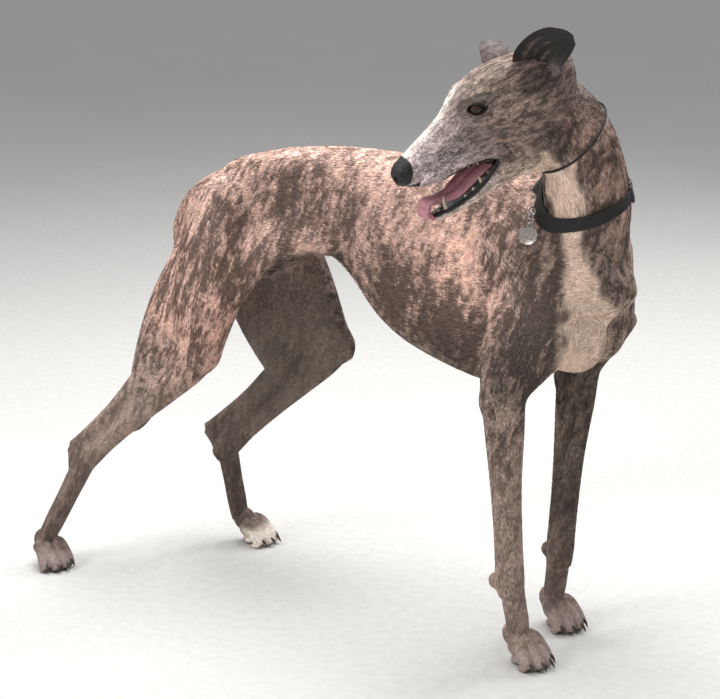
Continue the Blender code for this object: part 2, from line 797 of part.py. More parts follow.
def upper_teeth():
    made = []
    for side in (-1, 1):
        made.append(tooth((0.2280, 0.0130 * side, 0.0190), -0.0200, 0.0032, (0.001, 0.0)))
        for k in range(4):
            x = 0.152 + 0.0150 * k
            made.append(tooth((x, 0.0178 * side - 0.0006 * k * side, 0.0170), -0.0150, 0.0042))
        for k in range(3):
            made.append(tooth((0.2385 - 0.0010 * k, (0.0020 + 0.0030 * k) * side, 0.0190), -0.0090, 0.0017))
    return made


def lower_teeth():
    made = []
    for side in (-1, 1):
        made.append(tooth((0.2300, 0.0100 * side, -0.0400), 0.0225, 0.0030, (-0.001, 0.001 * side)))
        for k in range(4):
            x = 0.156 + 0.0145 * k
            made.append(tooth((x, (0.0175 - 0.0013 * k) * side, -0.0400), 0.0150, 0.0038))
        for k in range(3):
            made.append(tooth((0.2375 - 0.0008 * k, (0.0015 + 0.0026 * k) * side, -0.0400), 0.0115, 0.0014))
    return made


def tongue_form():
    """The tongue lies in the lower jaw and its tip hangs over the front teeth."""
    rows = [
        (0.118, 0.000, -0.0220, 0.0120, 0.0060, 0.0060),
        (0.145, 0.000, -0.0215, 0.0130, 0.0045, 0.0050),
        (0.175, 0.000, -0.0215, 0.0125, 0.0036, 0.0042),
        (0.205, 0.001, -0.0205, 0.0120, 0.0032, 0.0036),
        (0.230, 0.003, -0.0170, 0.0120, 0.0028, 0.0030),
        (0.246, 0.005, -0.0165, 0.0125, 0.0026, 0.0028),
        (0.2545, 0.006, -0.0230, 0.0125, 0.0024, 0.0026),
        (0.2560, 0.006, -0.0320, 0.0105, 0.0022, 0.0022),
        (0.2545, 0.006, -0.0375, 0.0050, 0.0014, 0.0014),
    ]
    obj = loft("tongue_form", rows, sides=12, steps=3)
    obj.data.transform(head_frame())
    return obj


# Ears: rows from root to tip in the head's frame: centre, across, half width, hollow

EAR_LEFT = [
    ((0.050, 0.036, 0.058), (0.45, -0.10, 0.88), 0.0210, 0.0120),
    ((0.043, 0.046, 0.068), (0.40, 0.00, 0.92), 0.0275, 0.0150),
    ((0.033, 0.054, 0.076), (0.30, 0.10, 0.95), 0.0300, 0.0140),
    ((0.019, 0.060, 0.080), (0.20, 0.15, 0.97), 0.0290, 0.0110),
    ((0.003, 0.062, 0.0800), (0.18, 0.15, 0.97), 0.0245, 0.0080),
    ((-0.010, 0.062, 0.0780), (0.22, 0.12, 0.96), 0.0160, 0.0045),
    ((-0.018, 0.061, 0.0760), (0.25, 0.10, 0.95), 0.0070, 0.0015),
]
EAR_RIGHT = [
    ((0.050, -0.036, 0.056), (0.60, 0.05, 0.80), 0.0200, 0.0120),
    ((0.050, -0.045, 0.070), (0.78, 0.00, 0.60), 0.0225, 0.0140),
    ((0.051, -0.052, 0.084), (0.92, -0.10, 0.30), 0.0230, 0.0120),
    ((0.049, -0.062, 0.094), (0.97, -0.15, 0.10), 0.0205, 0.0090),
    ((0.045, -0.074, 0.095), (0.95, -0.25, 0.05), 0.0165, 0.0060),
    ((0.041, -0.085, 0.087), (0.95, -0.25, 0.00), 0.0110, 0.0035),
    ((0.039, -0.091, 0.079), (0.95, -0.25, 0.00), 0.0050, 0.0015),
]
EAR_THICKNESS = 0.0026


def ear(name, rows, side):
    """A cupped ear flap: an open sheet made solid, its hollow towards the side of the head."""
    columns = 7
    flat = [(*c, *a, w, h) for c, a, w, h in rows]
    fine = smooth_rows(flat, 2)
    path = fine[:, :3]
    tangents = np.gradient(path, axis=0)
    bm = bmesh.new()
    grid = []
    for row, tangent in zip(fine, tangents):
        along = Vector(tangent).normalized()
        across = Vector(row[3:6]).normalized()
        across = (across - along * across.dot(along)).normalized()
        normal = along.cross(across).normalized()
        if normal.y * side < 0:
            normal.negate()
        line = []
        for k in range(columns):
            s = -1 + 2 * k / (columns - 1)
            cup = row[7] * (1 - abs(s) ** 2.2)
            line.append(bm.verts.new(Vector(row[:3]) + across * (row[6] * s) - normal * cup))
        grid.append(line)
    for low, high in zip(grid, grid[1:]):
        for k in range(columns - 1):
            bm.faces.new((low[k], low[k + 1], high[k + 1], high[k]))
    bmesh.ops.recalc_face_normals(bm, faces=bm.faces)
    sheet = mesh_from(name + "_sheet", bm)
    shell = sheet.modifiers.new("Solidify", "SOLIDIFY")
    shell.thickness = EAR_THICKNESS
    shell.offset = 0
    made = evaluated_copy(sheet, name)
    remove(sheet)
    made.data.transform(head_frame())
    return made


# Collars and tags

COLLAR_CENTRE = (0.0867, -0.0216, 0.6616)
COLLAR_NORMAL = (-0.118, -0.402, 0.908)
COLLAR_CLIMB = 0.036
COLLAR_CLIMB_ANGLE = 152
COLLAR_WIDTH = 0.0190
COLLAR_THICKNESS = 0.0034
SLIP_CENTRE = (0.0804, -0.0755, 0.7420)
SLIP_NORMAL = (-0.407, -0.635, 0.658)
SLIP_RADIUS = 0.0019
NECK_REACH_LIMIT = 0.078


def ring_frame(centre, normal):
    up = Vector(normal).normalized()
    side = Vector((1, 0, 0))
    side = (side - up * side.dot(up)).normalized()
    other = up.cross(side)
    matrix = Matrix((side, other, up)).transposed().to_4x4()
    matrix.translation = Vector(centre)
    return matrix


def reach_round(surfaces, frame, count, heights):
    """How far the flesh reaches from the ring's axis in each direction, at its own height."""
    trees = []
    for surface in surfaces:
        bm = bmesh.new()
        bm.from_mesh(surface.data)
        trees.append(BVHTree.FromBMesh(bm))
        bm.free()
    found = []
    for k in range(count):
        start = frame @ Vector((0, 0, heights[k]))
        angle = 2 * math.pi * k / count
        way = frame.to_3x3() @ Vector((math.cos(angle), math.sin(angle), 0))
        far = 0.0
        for tree in trees:
            hit = tree.ray_cast(start + way * 0.01, way, NECK_REACH_LIMIT)[0]
            if hit is not None:
                far = max(far, (hit - start).length)
        found.append(far if far > 0 else NECK_REACH_LIMIT)
    reach = np.array(found)
    for _ in range(3):
        reach = (np.roll(reach, 1) + 2 * reach + np.roll(reach, -1)) / 4
    return np.maximum(reach, np.array(found))


def strap(name, surfaces, centre, normal, width, thickness, count=40):
    """A flat band that follows the neck all the way round and climbs over the withers."""
    frame = ring_frame(centre, normal)
    levels = (-0.5, -0.42, 0.42, 0.5)
    angles = [2 * math.pi * k / count for k in range(count)]
    climb = [max(0.0, math.cos(a - math.radians(COLLAR_CLIMB_ANGLE))) ** 1.5 * COLLAR_CLIMB for a in angles]
    low = reach_round(surfaces, frame, count, [c - width / 2 for c in climb])
    high = reach_round(surfaces, frame, count, [c + width / 2 for c in climb])
    bm = bmesh.new()
    outer, inner = [], []
    for level in levels:
        share = level + 0.5
        reach = low * (1 - share) + high * share + GAP + 0.0004
        edge = 0.0006 if abs(level) == 0.5 else 0.0
        for rings, extra in ((outer, thickness - edge), (inner, edge)):
            ring = []
            for k in range(count):
                angle = 2 * math.pi * k / count
                r = reach[k] + extra
                lift = climb[k] + level * width
                ring.append(bm.verts.new((r * math.cos(angle), r * math.sin(angle), lift)))
            rings.append(ring)
    loop = outer + list(reversed(inner))
    for a, b in zip(loop, loop[1:] + loop[:1]):
        for k in range(count):
            nxt = (k + 1) % count
            bm.faces.new((a[k], a[nxt], b[nxt], b[k]))
    bmesh.ops.recalc_face_normals(bm, faces=bm.faces)
    bm.transform(frame)
    return mesh_from(name, bm)


def cord_ring(name, surfaces, centre, normal, radius, count=40):
    """A round cord that lies on the neck all the way round."""
    frame = ring_frame(centre, normal)
    reach = reach_round(surfaces, frame, count, [0.0] * count) + radius + GAP + 0.0003
    bm = bmesh.new()
    rings = []
    sides = 6
    for k in range(count):
        angle = 2 * math.pi * k / count
        way = Vector((math.cos(angle), math.sin(angle), 0))
        ring = []
        for j in range(sides):
            turn = 2 * math.pi * j / sides
            point = way * (reach[k] + radius * math.cos(turn)) + Vector((0, 0, radius * math.sin(turn)))
            ring.append(bm.verts.new(point))
        rings.append(ring)
    for a, b in zip(rings, rings[1:] + rings[:1]):
        for j in range(sides):
            nxt = (j + 1) % sides
            bm.faces.new((a[j], a[nxt], b[nxt], b[j]))
    bmesh.ops.recalc_face_normals(bm, faces=bm.faces)
    bm.transform(frame)
    return mesh_from(name, bm)


def torus(name, centre, major, minor, turn, segments=24, sides=6):
    bm = bmesh.new()
    rings = []
    for k in range(segments):
        angle = 2 * math.pi * k / segments
        way = Vector((math.cos(angle), math.sin(angle), 0))
        ring = []
        for j in range(sides):
            round_angle = 2 * math.pi * j / sides
            out = way * (major + minor * math.cos(round_angle))
            ring.append(bm.verts.new(out + Vector((0, 0, minor * math.sin(round_angle)))))
        rings.append(ring)
    for a, b in zip(rings, rings[1:] + rings[:1]):
        for j in range(sides):
            nxt = (j + 1) % sides
            bm.faces.new((a[j], a[nxt], b[nxt], b[j]))
    bmesh.ops.recalc_face_normals(bm, faces=bm.faces)
    obj = mesh_from(name, bm)
    matrix = Matrix.Translation(centre)
    for angle, axis in zip(turn, "XYZ"):
        matrix = matrix @ Matrix.Rotation(math.radians(angle), 4, axis)
    obj.data.transform(matrix)
    return obj


def disc(name, centre, radius, thickness, turn):
    bm = bmesh.new()
    bmesh.ops.create_cone(
        bm, cap_ends=True, segments=28, radius1=radius, radius2=radius, depth=thickness
    )
    matrix = Matrix.Translation(centre)
    for angle, axis in zip(turn, "XYZ"):
        matrix = matrix @ Matrix.Rotation(math.radians(angle), 4, axis)
    bm.transform(matrix)
    return mesh_from(name, bm)


# Cutting cells: outlines of x and z for the upper and lower share of each leg

FORE_UPPER = [(-0.105, 0.365), (-0.100, 0.440), (-0.070, 0.510), (0.000, 0.560)]
FORE_UPPER += [(0.075, 0.560), (0.125, 0.500), (0.135, 0.420), (0.110, 0.365)]
FORE_LOWER = [(-0.120, PAW_CUT_HEIGHT), (-0.120, 0.372), (0.130, 0.372), (0.130, PAW_CUT_HEIGHT)]
FORE_INNER = 0.052
HIND_UPPER = [(-0.335, 0.400), (-0.385, 0.505), (-0.425, 0.580), (-0.480, 0.625), (-0.550, 0.622)]
HIND_UPPER += [(-0.620, 0.570), (-0.690, 0.500), (-0.760, 0.400)]
HIND_LOWER = [(-0.950, PAW_CUT_HEIGHT), (-0.950, 0.454), (-0.300, 0.454), (-0.300, PAW_CUT_HEIGHT)]
HIND_INNER = 0.034
LOWER_INNER = 0.003
OUTSIDE = 0.300


def leg_cell(kind, side, grow):
    """The space that one leg is cut from: its outer share of the trunk and all below."""
    upper, lower, inner = (
        (FORE_UPPER, FORE_LOWER, FORE_INNER) if kind == "fore" else (HIND_UPPER, HIND_LOWER, HIND_INNER)
    )
    spans = []
    for outline, near in ((upper, inner), (lower, LOWER_INNER)):
        low, high = (near, OUTSIDE) if side > 0 else (-OUTSIDE, -near)
        spans.append(slab("cell", outline, low, high, grow))
    joined = combine(spans[0], spans[1], "UNION", "leg_cell")
    remove(*spans)
    return joined


def half_space(name, centre, normal, above, offset=0.0):
    """A large box on one side of a plane."""
    frame = ring_frame(centre, normal)
    low, high = (offset, 0.5) if above else (-0.9, offset)
    return block(name, (-0.6, -0.6, low), (0.6, 0.6, high), frame)


def crossed(obj, *cells):
    """What obj shares with every cell. The cells are used up."""
    for cell in cells:
        made = combine(obj, cell, "INTERSECT", obj.name)
        remove(cell, obj)
        obj = made
    return obj


def without(obj, *cells):
    """obj with the cells taken from it. The cells are used up."""
    for cell in cells:
        made = combine(obj, cell, "DIFFERENCE", obj.name)
        remove(cell, obj)
        obj = made
    return obj


NECK_CELL_REACH = 0.105
HEAD_CUT = (0.0742, -0.0852, 0.7520)
HEAD_CUT_NORMAL = (-0.407, -0.635, 0.658)


def neck_cell(grow):
    """The space between the collar and the head."""
    reach = NECK_CELL_REACH + grow
    frame = ring_frame(COLLAR_CENTRE, COLLAR_NORMAL)
    low = block("neck_cell", (-reach, -reach, -grow), (reach, reach, 0.4), frame)
    high = half_space("below_head", HEAD_CUT, HEAD_CUT_NORMAL, False, grow - GAP / 2)
    return crossed(low, high)


def body_nodes(body):
    """Torso, neck and four legs from one flesh."""
    made = {}
    for kind in ("fore", "hind"):
        for side, name in ((-1, "right"), (1, "left")):
            leg = copy_of(body, f"{kind}leg_{name}")
            made[f"{kind}leg_{name}"] = crossed(leg, leg_cell(kind, side, 0.0))
    made["neck"] = crossed(copy_of(body, "neck"), neck_cell(0.0))
    cells = [leg_cell(kind, side, GAP) for kind in ("fore", "hind") for side in (-1, 1)]
    made["torso"] = without(copy_of(body, "torso"), *cells, neck_cell(GAP))
    return made


# Cuts of the head, as outlines of x and z in its own frame

JAW_OUTLINE = [(0.1370, -0.0118), (0.1600, -0.0100), (0.3200, -0.0020), (0.3200, -0.1100), (0.1060, -0.1100)]
NOSE_OUTLINE = [(0.2440, 0.0700), (0.2460, 0.0400), (0.2530, 0.0215), (0.3000, 0.0180), (0.3000, 0.0700)]


def head_slab(name, outline, grow=0.0, half=0.080):
    obj = slab(name, outline, -half, half, grow)
    obj.data.transform(head_frame())
    return obj


def eye_opening(side):
    """The almond between the lids, cut straight out from the ball."""
    points = []
    for k in range(24):
        angle = 2 * math.pi * k / 24
        c, s = math.cos(angle), math.sin(angle)
        half, tall = 0.0112, (0.0062 if s > 0 else 0.0054)
        points.append((half * c, tall * math.copysign(abs(s) ** 1.25, s)))
    bm = bmesh.new()
    face = bm.faces.new([bm.verts.new((0.004, y, z)) for y, z in points])
    made = bmesh.ops.extrude_face_region(bm, geom=[face])
    lifted = [v for v in made["geom"] if isinstance(v, bmesh.types.BMVert)]
    bmesh.ops.translate(bm, verts=lifted, vec=(0.03, 0, 0))
    bmesh.ops.recalc_face_normals(bm, faces=bm.faces)
    slant = Matrix.Rotation(math.radians(-EYE_SLANT * side), 4, "X")
    bm.transform(eye_matrix(side) @ slant)
    return mesh_from("eye_opening", bm)


def nostril(side):
    frame = head_frame()
    hole = blob("nostril", (0.2640, 0.0068 * side, 0.0360), (0.0085, 0.0030, 0.0038), (0, 0, 0), 12)
    slit = blob("slit", (0.2570, 0.0125 * side, 0.0325), (0.0070, 0.0040, 0.0014), (0, 0, -35 * side), 12)
    hole.data.transform(frame)
    slit.data.transform(frame)
    joined = combine(hole, slit, "UNION", "nostril")
    remove(hole, slit)
    return joined


def head_nodes(flesh):
    """Skull with upper jaw, lower jaw and nose from one flesh, with eyes, teeth and tongue."""
    made = {}
    front = half_space("front_of_neck", HEAD_CUT, HEAD_CUT_NORMAL, True, GAP / 2)
    flesh = crossed(flesh, front)
    jaw = crossed(copy_of(flesh, "lower_jaw"), head_slab("jaw_cell", JAW_OUTLINE))
    nose = crossed(copy_of(flesh, "nose"), head_slab("nose_cell", NOSE_OUTLINE))
    made["nose"] = thin(without(nose, nostril(1), nostril(-1)), FACES["nose"])
    jaw_space = head_slab("jaw_space", JAW_OUTLINE, GAP)
    nose_space = head_slab("nose_space", NOSE_OUTLINE, GAP)
    skull = without(flesh, jaw_space, nose_space)
    for side, name in ((1, "left"), (-1, "right")):
        ball = blob("eye_" + name, (0, 0, 0), (EYE_RADIUS,) * 3, segments=16)
        socket = blob("socket", (0, 0, 0), (EYE_RADIUS + GAP,) * 3, segments=16)
        for obj in (ball, socket):
            obj.data.transform(eye_matrix(side))
        skull = without(skull, eye_opening(side), socket)
        made["eye_" + name] = ball
    for node, teeth in ((skull, upper_teeth()), (jaw, lower_teeth())):
        for one in teeth:
            joined = combine(node, one, "UNION", node.name)
            node.data = joined.data
            remove(joined, one)
    made["head"], made["lower_jaw"] = skull, jaw
    tongue = clear_of(tongue_form(), jaw)
    made["tongue"] = clear_of(tongue, skull)
    for side, name, rows in ((1, "left", EAR_LEFT), (-1, "right", EAR_RIGHT)):
        made["ear_" + name] = clear_of(ear("ear_" + name, rows, side), skull)
    return made


# The tag hangs on the right shoulder by a split ring, a hook and a ring on the collar

TAG_CENTRE = (0.0283, -0.0825, 0.6192)
TAG_NORMAL = (0.184, -0.852, 0.491)
TAG_RADIUS = 0.0130
TAG_THICKNESS = 0.0013
TAG_LUG = (0.0154, 0.0032, 0.0009)
SPLIT_RING = (0.0205, 0.0052, 0.0008)
HOOK_RING = (0.0281, 0.0045, 0.0010)
COLLAR_RING = (0.0352, 0.0060, 0.0011)
BUCKLE = (0.0220, 0.0240, 0.0036)
BUCKLE_ANGLE = 28


def tag_nodes(collar):
    """Tag and rings in the tag's own plane: x across, y up the chest, z out from it."""
    normal = Vector(TAG_NORMAL).normalized()
    up = (Vector((0, 0, 1)) - normal * normal.z).normalized()
    matrix = Matrix((up.cross(normal), up, normal)).transposed().to_4x4()
    matrix.translation = Vector(TAG_CENTRE)
    plate = disc("tag", (0, 0, 0), TAG_RADIUS, TAG_THICKNESS, (0, 0, 0))
    rim = torus("rim", (0, 0, 0), TAG_RADIUS - 0.0004, 0.0010, (0, 0, 0), 28)
    lug = torus("lug", (0, TAG_LUG[0], 0), TAG_LUG[1], TAG_LUG[2], (0, 0, 0), 16)
    tag = combine(combine(plate, rim, "UNION", "tag"), lug, "UNION", "tag")
    made = {"tag": tag}
    for name, ring, turn in (
        ("tag_ring", SPLIT_RING, 55),
        ("tag_hook", HOOK_RING, -35),
        ("collar_ring", COLLAR_RING, 55),
    ):
        made[name] = torus(name, (0, ring[0], 0.0008), ring[1], ring[2], (0, turn, 0), 16)
    for obj in made.values():
        obj.data.transform(matrix)
    made["collar_ring"] = clear_of(made["collar_ring"], collar)
    return made


def buckle_form(collar):
    """A plain block on the outside of the strap, clear of it."""
    frame = ring_frame(COLLAR_CENTRE, COLLAR_NORMAL)
    turn = Matrix.Rotation(math.radians(BUCKLE_ANGLE), 4, "Z")
    reach = 0.0
    for vertex in collar.data.vertices:
        local = turn.inverted() @ frame.inverted() @ vertex.co
        if local.x > 0 and abs(local.y) < BUCKLE[0] / 2:
            reach = max(reach, local.x)
    length, height, thick = BUCKLE
    made = block(
        "buckle",
        (reach - thick / 2, -length / 2, -height / 2),
        (reach + thick, length / 2, height / 2),
        frame @ turn,
    )
    return clear_of(made, collar)


def build():
    body = thin(body_flesh(BODY_VOXEL, 40), FACES["body"])
    head = thin(head_flesh(HEAD_VOXEL, 5), FACES["head"])
    nodes = {}
    surfaces = [copy_of(body, "neck_surface"), copy_of(head, "head_surface")]
    collar = strap("collar", surfaces[:1], COLLAR_CENTRE, COLLAR_NORMAL, COLLAR_WIDTH, COLLAR_THICKNESS)
    nodes["collar"] = clear_of(collar, surfaces[0])
    nodes["buckle"] = clear_of(buckle_form(nodes["collar"]), surfaces[0])
    nodes.update(tag_nodes(nodes["collar"]))
    slip = cord_ring("slip_collar", surfaces, SLIP_CENTRE, SLIP_NORMAL, SLIP_RADIUS)
    slip = clear_of(slip, surfaces[0])
    nodes["slip_collar"] = clear_of(slip, surfaces[1])
    remove(*surfaces)
    nodes.update(body_nodes(body))
    nodes.update(head_nodes(head))
    remove(body)
    for kind, legs in (("fore", FORE), ("hind", HIND)):
        for name, joints in legs.items():
            paw = thin(paw_flesh(kind, joints, PAW_VOXEL, 3), FACES["paw"])
            for toe in TOES:
                reach = FORE_TOE_REACH if kind == "fore" else HIND_TOE_REACH
                nail = claw(paw_frame(joints), *toe, reach)
                paw.name = "paw"
                joined = combine(paw, nail, "UNION", "paw")
                remove(paw, nail)
                paw = joined
            floor = block("paw_space", (-1.2, -0.5, 0.0), (0.5, 0.5, PAW_CUT_HEIGHT - GAP))
            nodes[f"{kind}paw_{name}"] = crossed(paw, floor)
    tail = tube("tail", [r[:3] for r in TAIL], [r[3] for r in TAIL], sides=12, steps=3)
    tail = clear_of(tail, nodes["torso"])
    split = (TAIL[3][0], 0.0, TAIL_SPLIT_HEIGHT)
    upper = half_space("up", split, (0, 0, 1), True, GAP / 2)
    lower = half_space("down", split, (0, 0, 1), False, -GAP / 2)
    nodes["tail_root"] = crossed(copy_of(tail, "tail_root"), upper)
    nodes["tail_tip"] = crossed(tail, lower)
    return nodes


def centre_on_floor(nodes):
    """Moves every node so that the origin is under the middle of the whole model."""
    corners = [v.co for obj in nodes.values() for v in obj.data.vertices]
    low = [min(c[i] for c in corners) for i in range(3)]
    high = [max(c[i] for c in corners) for i in range(3)]
    shift = Matrix.Translation((-(low[0] + high[0]) / 2, -(low[1] + high[1]) / 2, -low[2]))
    for obj in nodes.values():
        obj.data.transform(shift)


def main():
    clear_scene()
    nodes = build()
    kept = set(nodes.values())
    remove(*[obj for obj in bpy.data.objects if obj not in kept])
    centre_on_floor(nodes)
    for name, obj in nodes.items():
        paint = PAINT_OF.get(name, "coat")
        finish(obj, name, material(paint, *PAINTS[paint]))


main()
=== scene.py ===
"""The looks of the standing brindle greyhound: one skin with its short coat, eyes, nose,
mouth, ears, claws, collars and tag, on a pale floor under soft light.

Shapes are made in the dog's own frame, metres, x forward, y to its left, z up, with y = 0 in
its middle plane, and then moved into the frame of the model by one shift.
"""

import math

import bmesh
import bpy
import numpy as np
from mathutils import Matrix, Vector
from mathutils.bvhtree import BVHTree


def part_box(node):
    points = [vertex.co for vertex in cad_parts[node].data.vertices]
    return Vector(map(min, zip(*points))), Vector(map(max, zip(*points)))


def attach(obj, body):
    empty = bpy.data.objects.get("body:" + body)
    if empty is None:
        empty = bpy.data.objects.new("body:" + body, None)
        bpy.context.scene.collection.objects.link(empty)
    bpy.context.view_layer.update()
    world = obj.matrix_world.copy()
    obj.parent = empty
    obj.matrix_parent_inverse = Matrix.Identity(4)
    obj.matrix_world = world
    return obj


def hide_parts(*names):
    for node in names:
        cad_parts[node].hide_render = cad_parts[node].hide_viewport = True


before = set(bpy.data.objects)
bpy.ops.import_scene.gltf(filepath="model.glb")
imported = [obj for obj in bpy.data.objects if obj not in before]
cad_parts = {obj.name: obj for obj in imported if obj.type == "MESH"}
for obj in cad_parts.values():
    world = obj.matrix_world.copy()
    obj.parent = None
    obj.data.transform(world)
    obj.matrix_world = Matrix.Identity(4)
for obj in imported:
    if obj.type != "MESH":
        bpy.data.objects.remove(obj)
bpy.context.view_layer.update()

SKIN_VOXEL = 0.0014
BODY_VOXEL = 0.0026
HEAD_VOXEL = 0.0012
PAW_VOXEL = 0.0012
BODY_TRIANGLES = 112000
FINE_TRIANGLES = 80000
COAT_DEPTH = 0.0009
SEED = 20260

# The torso from buttock to breastbone: x, top, height of the widest line, bottom, half width
TORSO = [
    (-0.624, 0.545, 0.525, 0.505, 0.012),
    (-0.611, 0.566, 0.525, 0.478, 0.036),
    (-0.580, 0.606, 0.550, 0.462, 0.056),
    (-0.545, 0.646, 0.580, 0.468, 0.070),
    (-0.500, 0.668, 0.600, 0.480, 0.074),
    (-0.450, 0.688, 0.615, 0.505, 0.068),
    (-0.395, 0.700, 0.630, 0.532, 0.060),
    (-0.330, 0.707, 0.630, 0.537, 0.060),
    (-0.260, 0.708, 0.620, 0.492, 0.070),
    (-0.190, 0.708, 0.600, 0.434, 0.081),
    (-0.120, 0.704, 0.580, 0.400, 0.088),
    (-0.050, 0.696, 0.570, 0.382, 0.088),
    (0.020, 0.655, 0.560, 0.388, 0.082),
    (0.075, 0.610, 0.550, 0.425, 0.078),
    (0.112, 0.575, 0.535, 0.468, 0.061),
    (0.135, 0.542, 0.515, 0.488, 0.032),
]
CHEST_KEEL = 0.34

# The neck: centre, half width, reach to the nape, reach to the throat, heading of the throat
NECK = [
    (-0.050, 0.000, 0.560, 0.060, 0.100, 0.085, 0),
    (0.042, 0.002, 0.590, 0.076, 0.088, 0.084, -8),
    (0.076, -0.010, 0.645, 0.063, 0.066, 0.066, -42),
    (0.084, -0.030, 0.695, 0.057, 0.057, 0.057, -80),
    (0.081, -0.056, 0.742, 0.053, 0.056, 0.052, -112),
    (0.064, -0.082, 0.782, 0.049, 0.052, 0.048, -130),
    (0.036, -0.110, 0.800, 0.042, 0.044, 0.042, -135),
]

# The skin between the front of the left thigh and the flank, mirrored for the right: middle of
# its lower edge, half width, reach up into the body and reach down
FLANK_FOLD = [
    (-0.470, 0.072, 0.462, 0.012, 0.030, 0.011),
    (-0.445, 0.068, 0.492, 0.012, 0.040, 0.011),
    (-0.415, 0.063, 0.528, 0.012, 0.050, 0.011),
    (-0.380, 0.058, 0.547, 0.012, 0.055, 0.011),
    (-0.340, 0.052, 0.556, 0.012, 0.060, 0.011),
    (-0.300, 0.048, 0.556, 0.011, 0.060, 0.011),
]

# Joints of the legs
SHOULDER_TOP = (-0.040, 0.042, 0.655)
FORE = {
    "right": {
        "shoulder": (0.078, -0.074, 0.500),
        "elbow": (-0.003, -0.088, 0.392),
        "carpus": (0.0125, -0.083, 0.128),
        "knuckle": (0.0245, -0.074, 0.048),
        "heading": -12,
    },
    "left": {
        "shoulder": (0.094, 0.082, 0.500),
        "elbow": (0.026, 0.089, 0.392),
        "carpus": (0.0170, 0.069, 0.126),
        "knuckle": (0.0080, 0.073, 0.047),
        "heading": -20,
    },
}
HIND = {
    "right": {
        "hip": (-0.505, -0.055, 0.585),
        "stifle": (-0.520, -0.094, 0.382),
        "hock": (-0.735, -0.124, 0.184),
        "heel": (-0.759, -0.125, 0.204),
        "knuckle": (-0.803, -0.151, 0.046),
        "heading": -18,
    },
    "left": {
        "hip": (-0.505, 0.055, 0.585),
        "stifle": (-0.394, 0.088, 0.372),
        "hock": (-0.608, 0.086, 0.170),
        "heel": (-0.648, 0.086, 0.198),
        "knuckle": (-0.586, 0.112, 0.048),
        "ankle": (-0.602, 0.108, 0.050),
        "heading": 8,
    },
}

# The tail, carried low between the thighs: centre and radius
TAIL = [
    (-0.572, 0.000, 0.588, 0.022),
    (-0.604, 0.000, 0.560, 0.018),
    (-0.626, 0.000, 0.505, 0.0145),
    (-0.639, 0.001, 0.440, 0.0125),
    (-0.650, 0.000, 0.375, 0.0110),
    (-0.668, -0.006, 0.310, 0.0095),
    (-0.684, -0.014, 0.255, 0.0080),
    (-0.706, -0.019, 0.222, 0.0062),
    (-0.730, -0.021, 0.206, 0.0030),
]

# The head has its own frame: x to the nose, y to its left, z up, origin at the nape
HEAD_ORIGIN = (0.085, -0.065, 0.812)
HEAD_HEADING = -135
HEAD_DROP = -31
SKULL = [
    (-0.006, 0.052, 0.030, -0.015, 0.026),
    (0.018, 0.076, 0.040, -0.030, 0.043),
    (0.048, 0.089, 0.046, -0.034, 0.050),
    (0.080, 0.097, 0.050, -0.030, 0.050),
    (0.108, 0.099, 0.052, -0.018, 0.044),
    (0.134, 0.093, 0.050, -0.006, 0.035),
    (0.154, 0.081, 0.045, 0.000, 0.0295),
    (0.174, 0.073, 0.040, 0.002, 0.0265),
    (0.200, 0.066, 0.036, 0.004, 0.0240),
    (0.225, 0.060, 0.034, 0.009, 0.0215),
    (0.245, 0.055, 0.034, 0.015, 0.0190),
    (0.258, 0.050, 0.034, 0.021, 0.0155),
    (0.265, 0.043, 0.034, 0.027, 0.0080),
]
MANDIBLE = [
    (0.045, 0.010, -0.030, -0.068, 0.030),
    (0.080, 0.008, -0.028, -0.066, 0.036),
    (0.115, -0.002, -0.026, -0.054, 0.032),
    (0.145, -0.016, -0.032, -0.050, 0.026),
    (0.175, -0.026, -0.037, -0.048, 0.0215),
    (0.205, -0.031, -0.039, -0.047, 0.0180),
    (0.230, -0.032, -0.038, -0.045, 0.0145),
    (0.245, -0.029, -0.034, -0.040, 0.0090),
]
EYE_CENTRE = (0.1285, 0.0300, 0.0640)
EYE_RADIUS = 0.0120
EYE_OUTWARD = 58
EYE_SLANT = 24
LID_HALF = 0.0106
LID_UP = 0.0064
LID_DOWN = 0.0052


# Objects


def new_object(name, mesh):
    obj = bpy.data.objects.new(name, mesh)
    bpy.context.scene.collection.objects.link(obj)
    return obj


def mesh_from(name, bm):
    mesh = bpy.data.meshes.new(name)
    bm.normal_update()
    bm.to_mesh(mesh)
    bm.free()
    return new_object(name, mesh)


def mesh_of_arrays(name, points, faces):
    """A mesh of points and of faces that all have the same number of corners."""
    faces = np.asarray(faces, np.int32)
    mesh = bpy.data.meshes.new(name)
    mesh.vertices.add(len(points))
    mesh.vertices.foreach_set("co", np.asarray(points, np.float32).ravel())
    mesh.loops.add(faces.size)
    mesh.loops.foreach_set("vertex_index", faces.ravel())
    mesh.polygons.add(len(faces))
    mesh.polygons.foreach_set("loop_start", np.arange(len(faces), dtype=np.int32) * faces.shape[1])
    mesh.update(calc_edges=True)
    return mesh


def coordinates(mesh):
    found = np.empty(len(mesh.vertices) * 3, np.float32)
    mesh.vertices.foreach_get("co", found)
    return found.reshape(-1, 3).astype(float)


def set_coordinates(mesh, points):
    mesh.vertices.foreach_set("co", np.asarray(points, np.float32).ravel())
    mesh.update()


def point_normals(mesh):
    found = np.empty(len(mesh.vertices) * 3, np.float32)
    mesh.vertex_normals.foreach_get("vector", found)
    return found.reshape(-1, 3).astype(float)


def put_vector(mesh, name, values):
    layer = mesh.attributes.new(name, "FLOAT_VECTOR", "POINT")
    layer.data.foreach_set("vector", np.asarray(values, np.float32).ravel())


def put_number(mesh, name, values):
    layer = mesh.attributes.new(name, "FLOAT", "POINT")
    layer.data.foreach_set("value", np.asarray(values, np.float32).ravel())


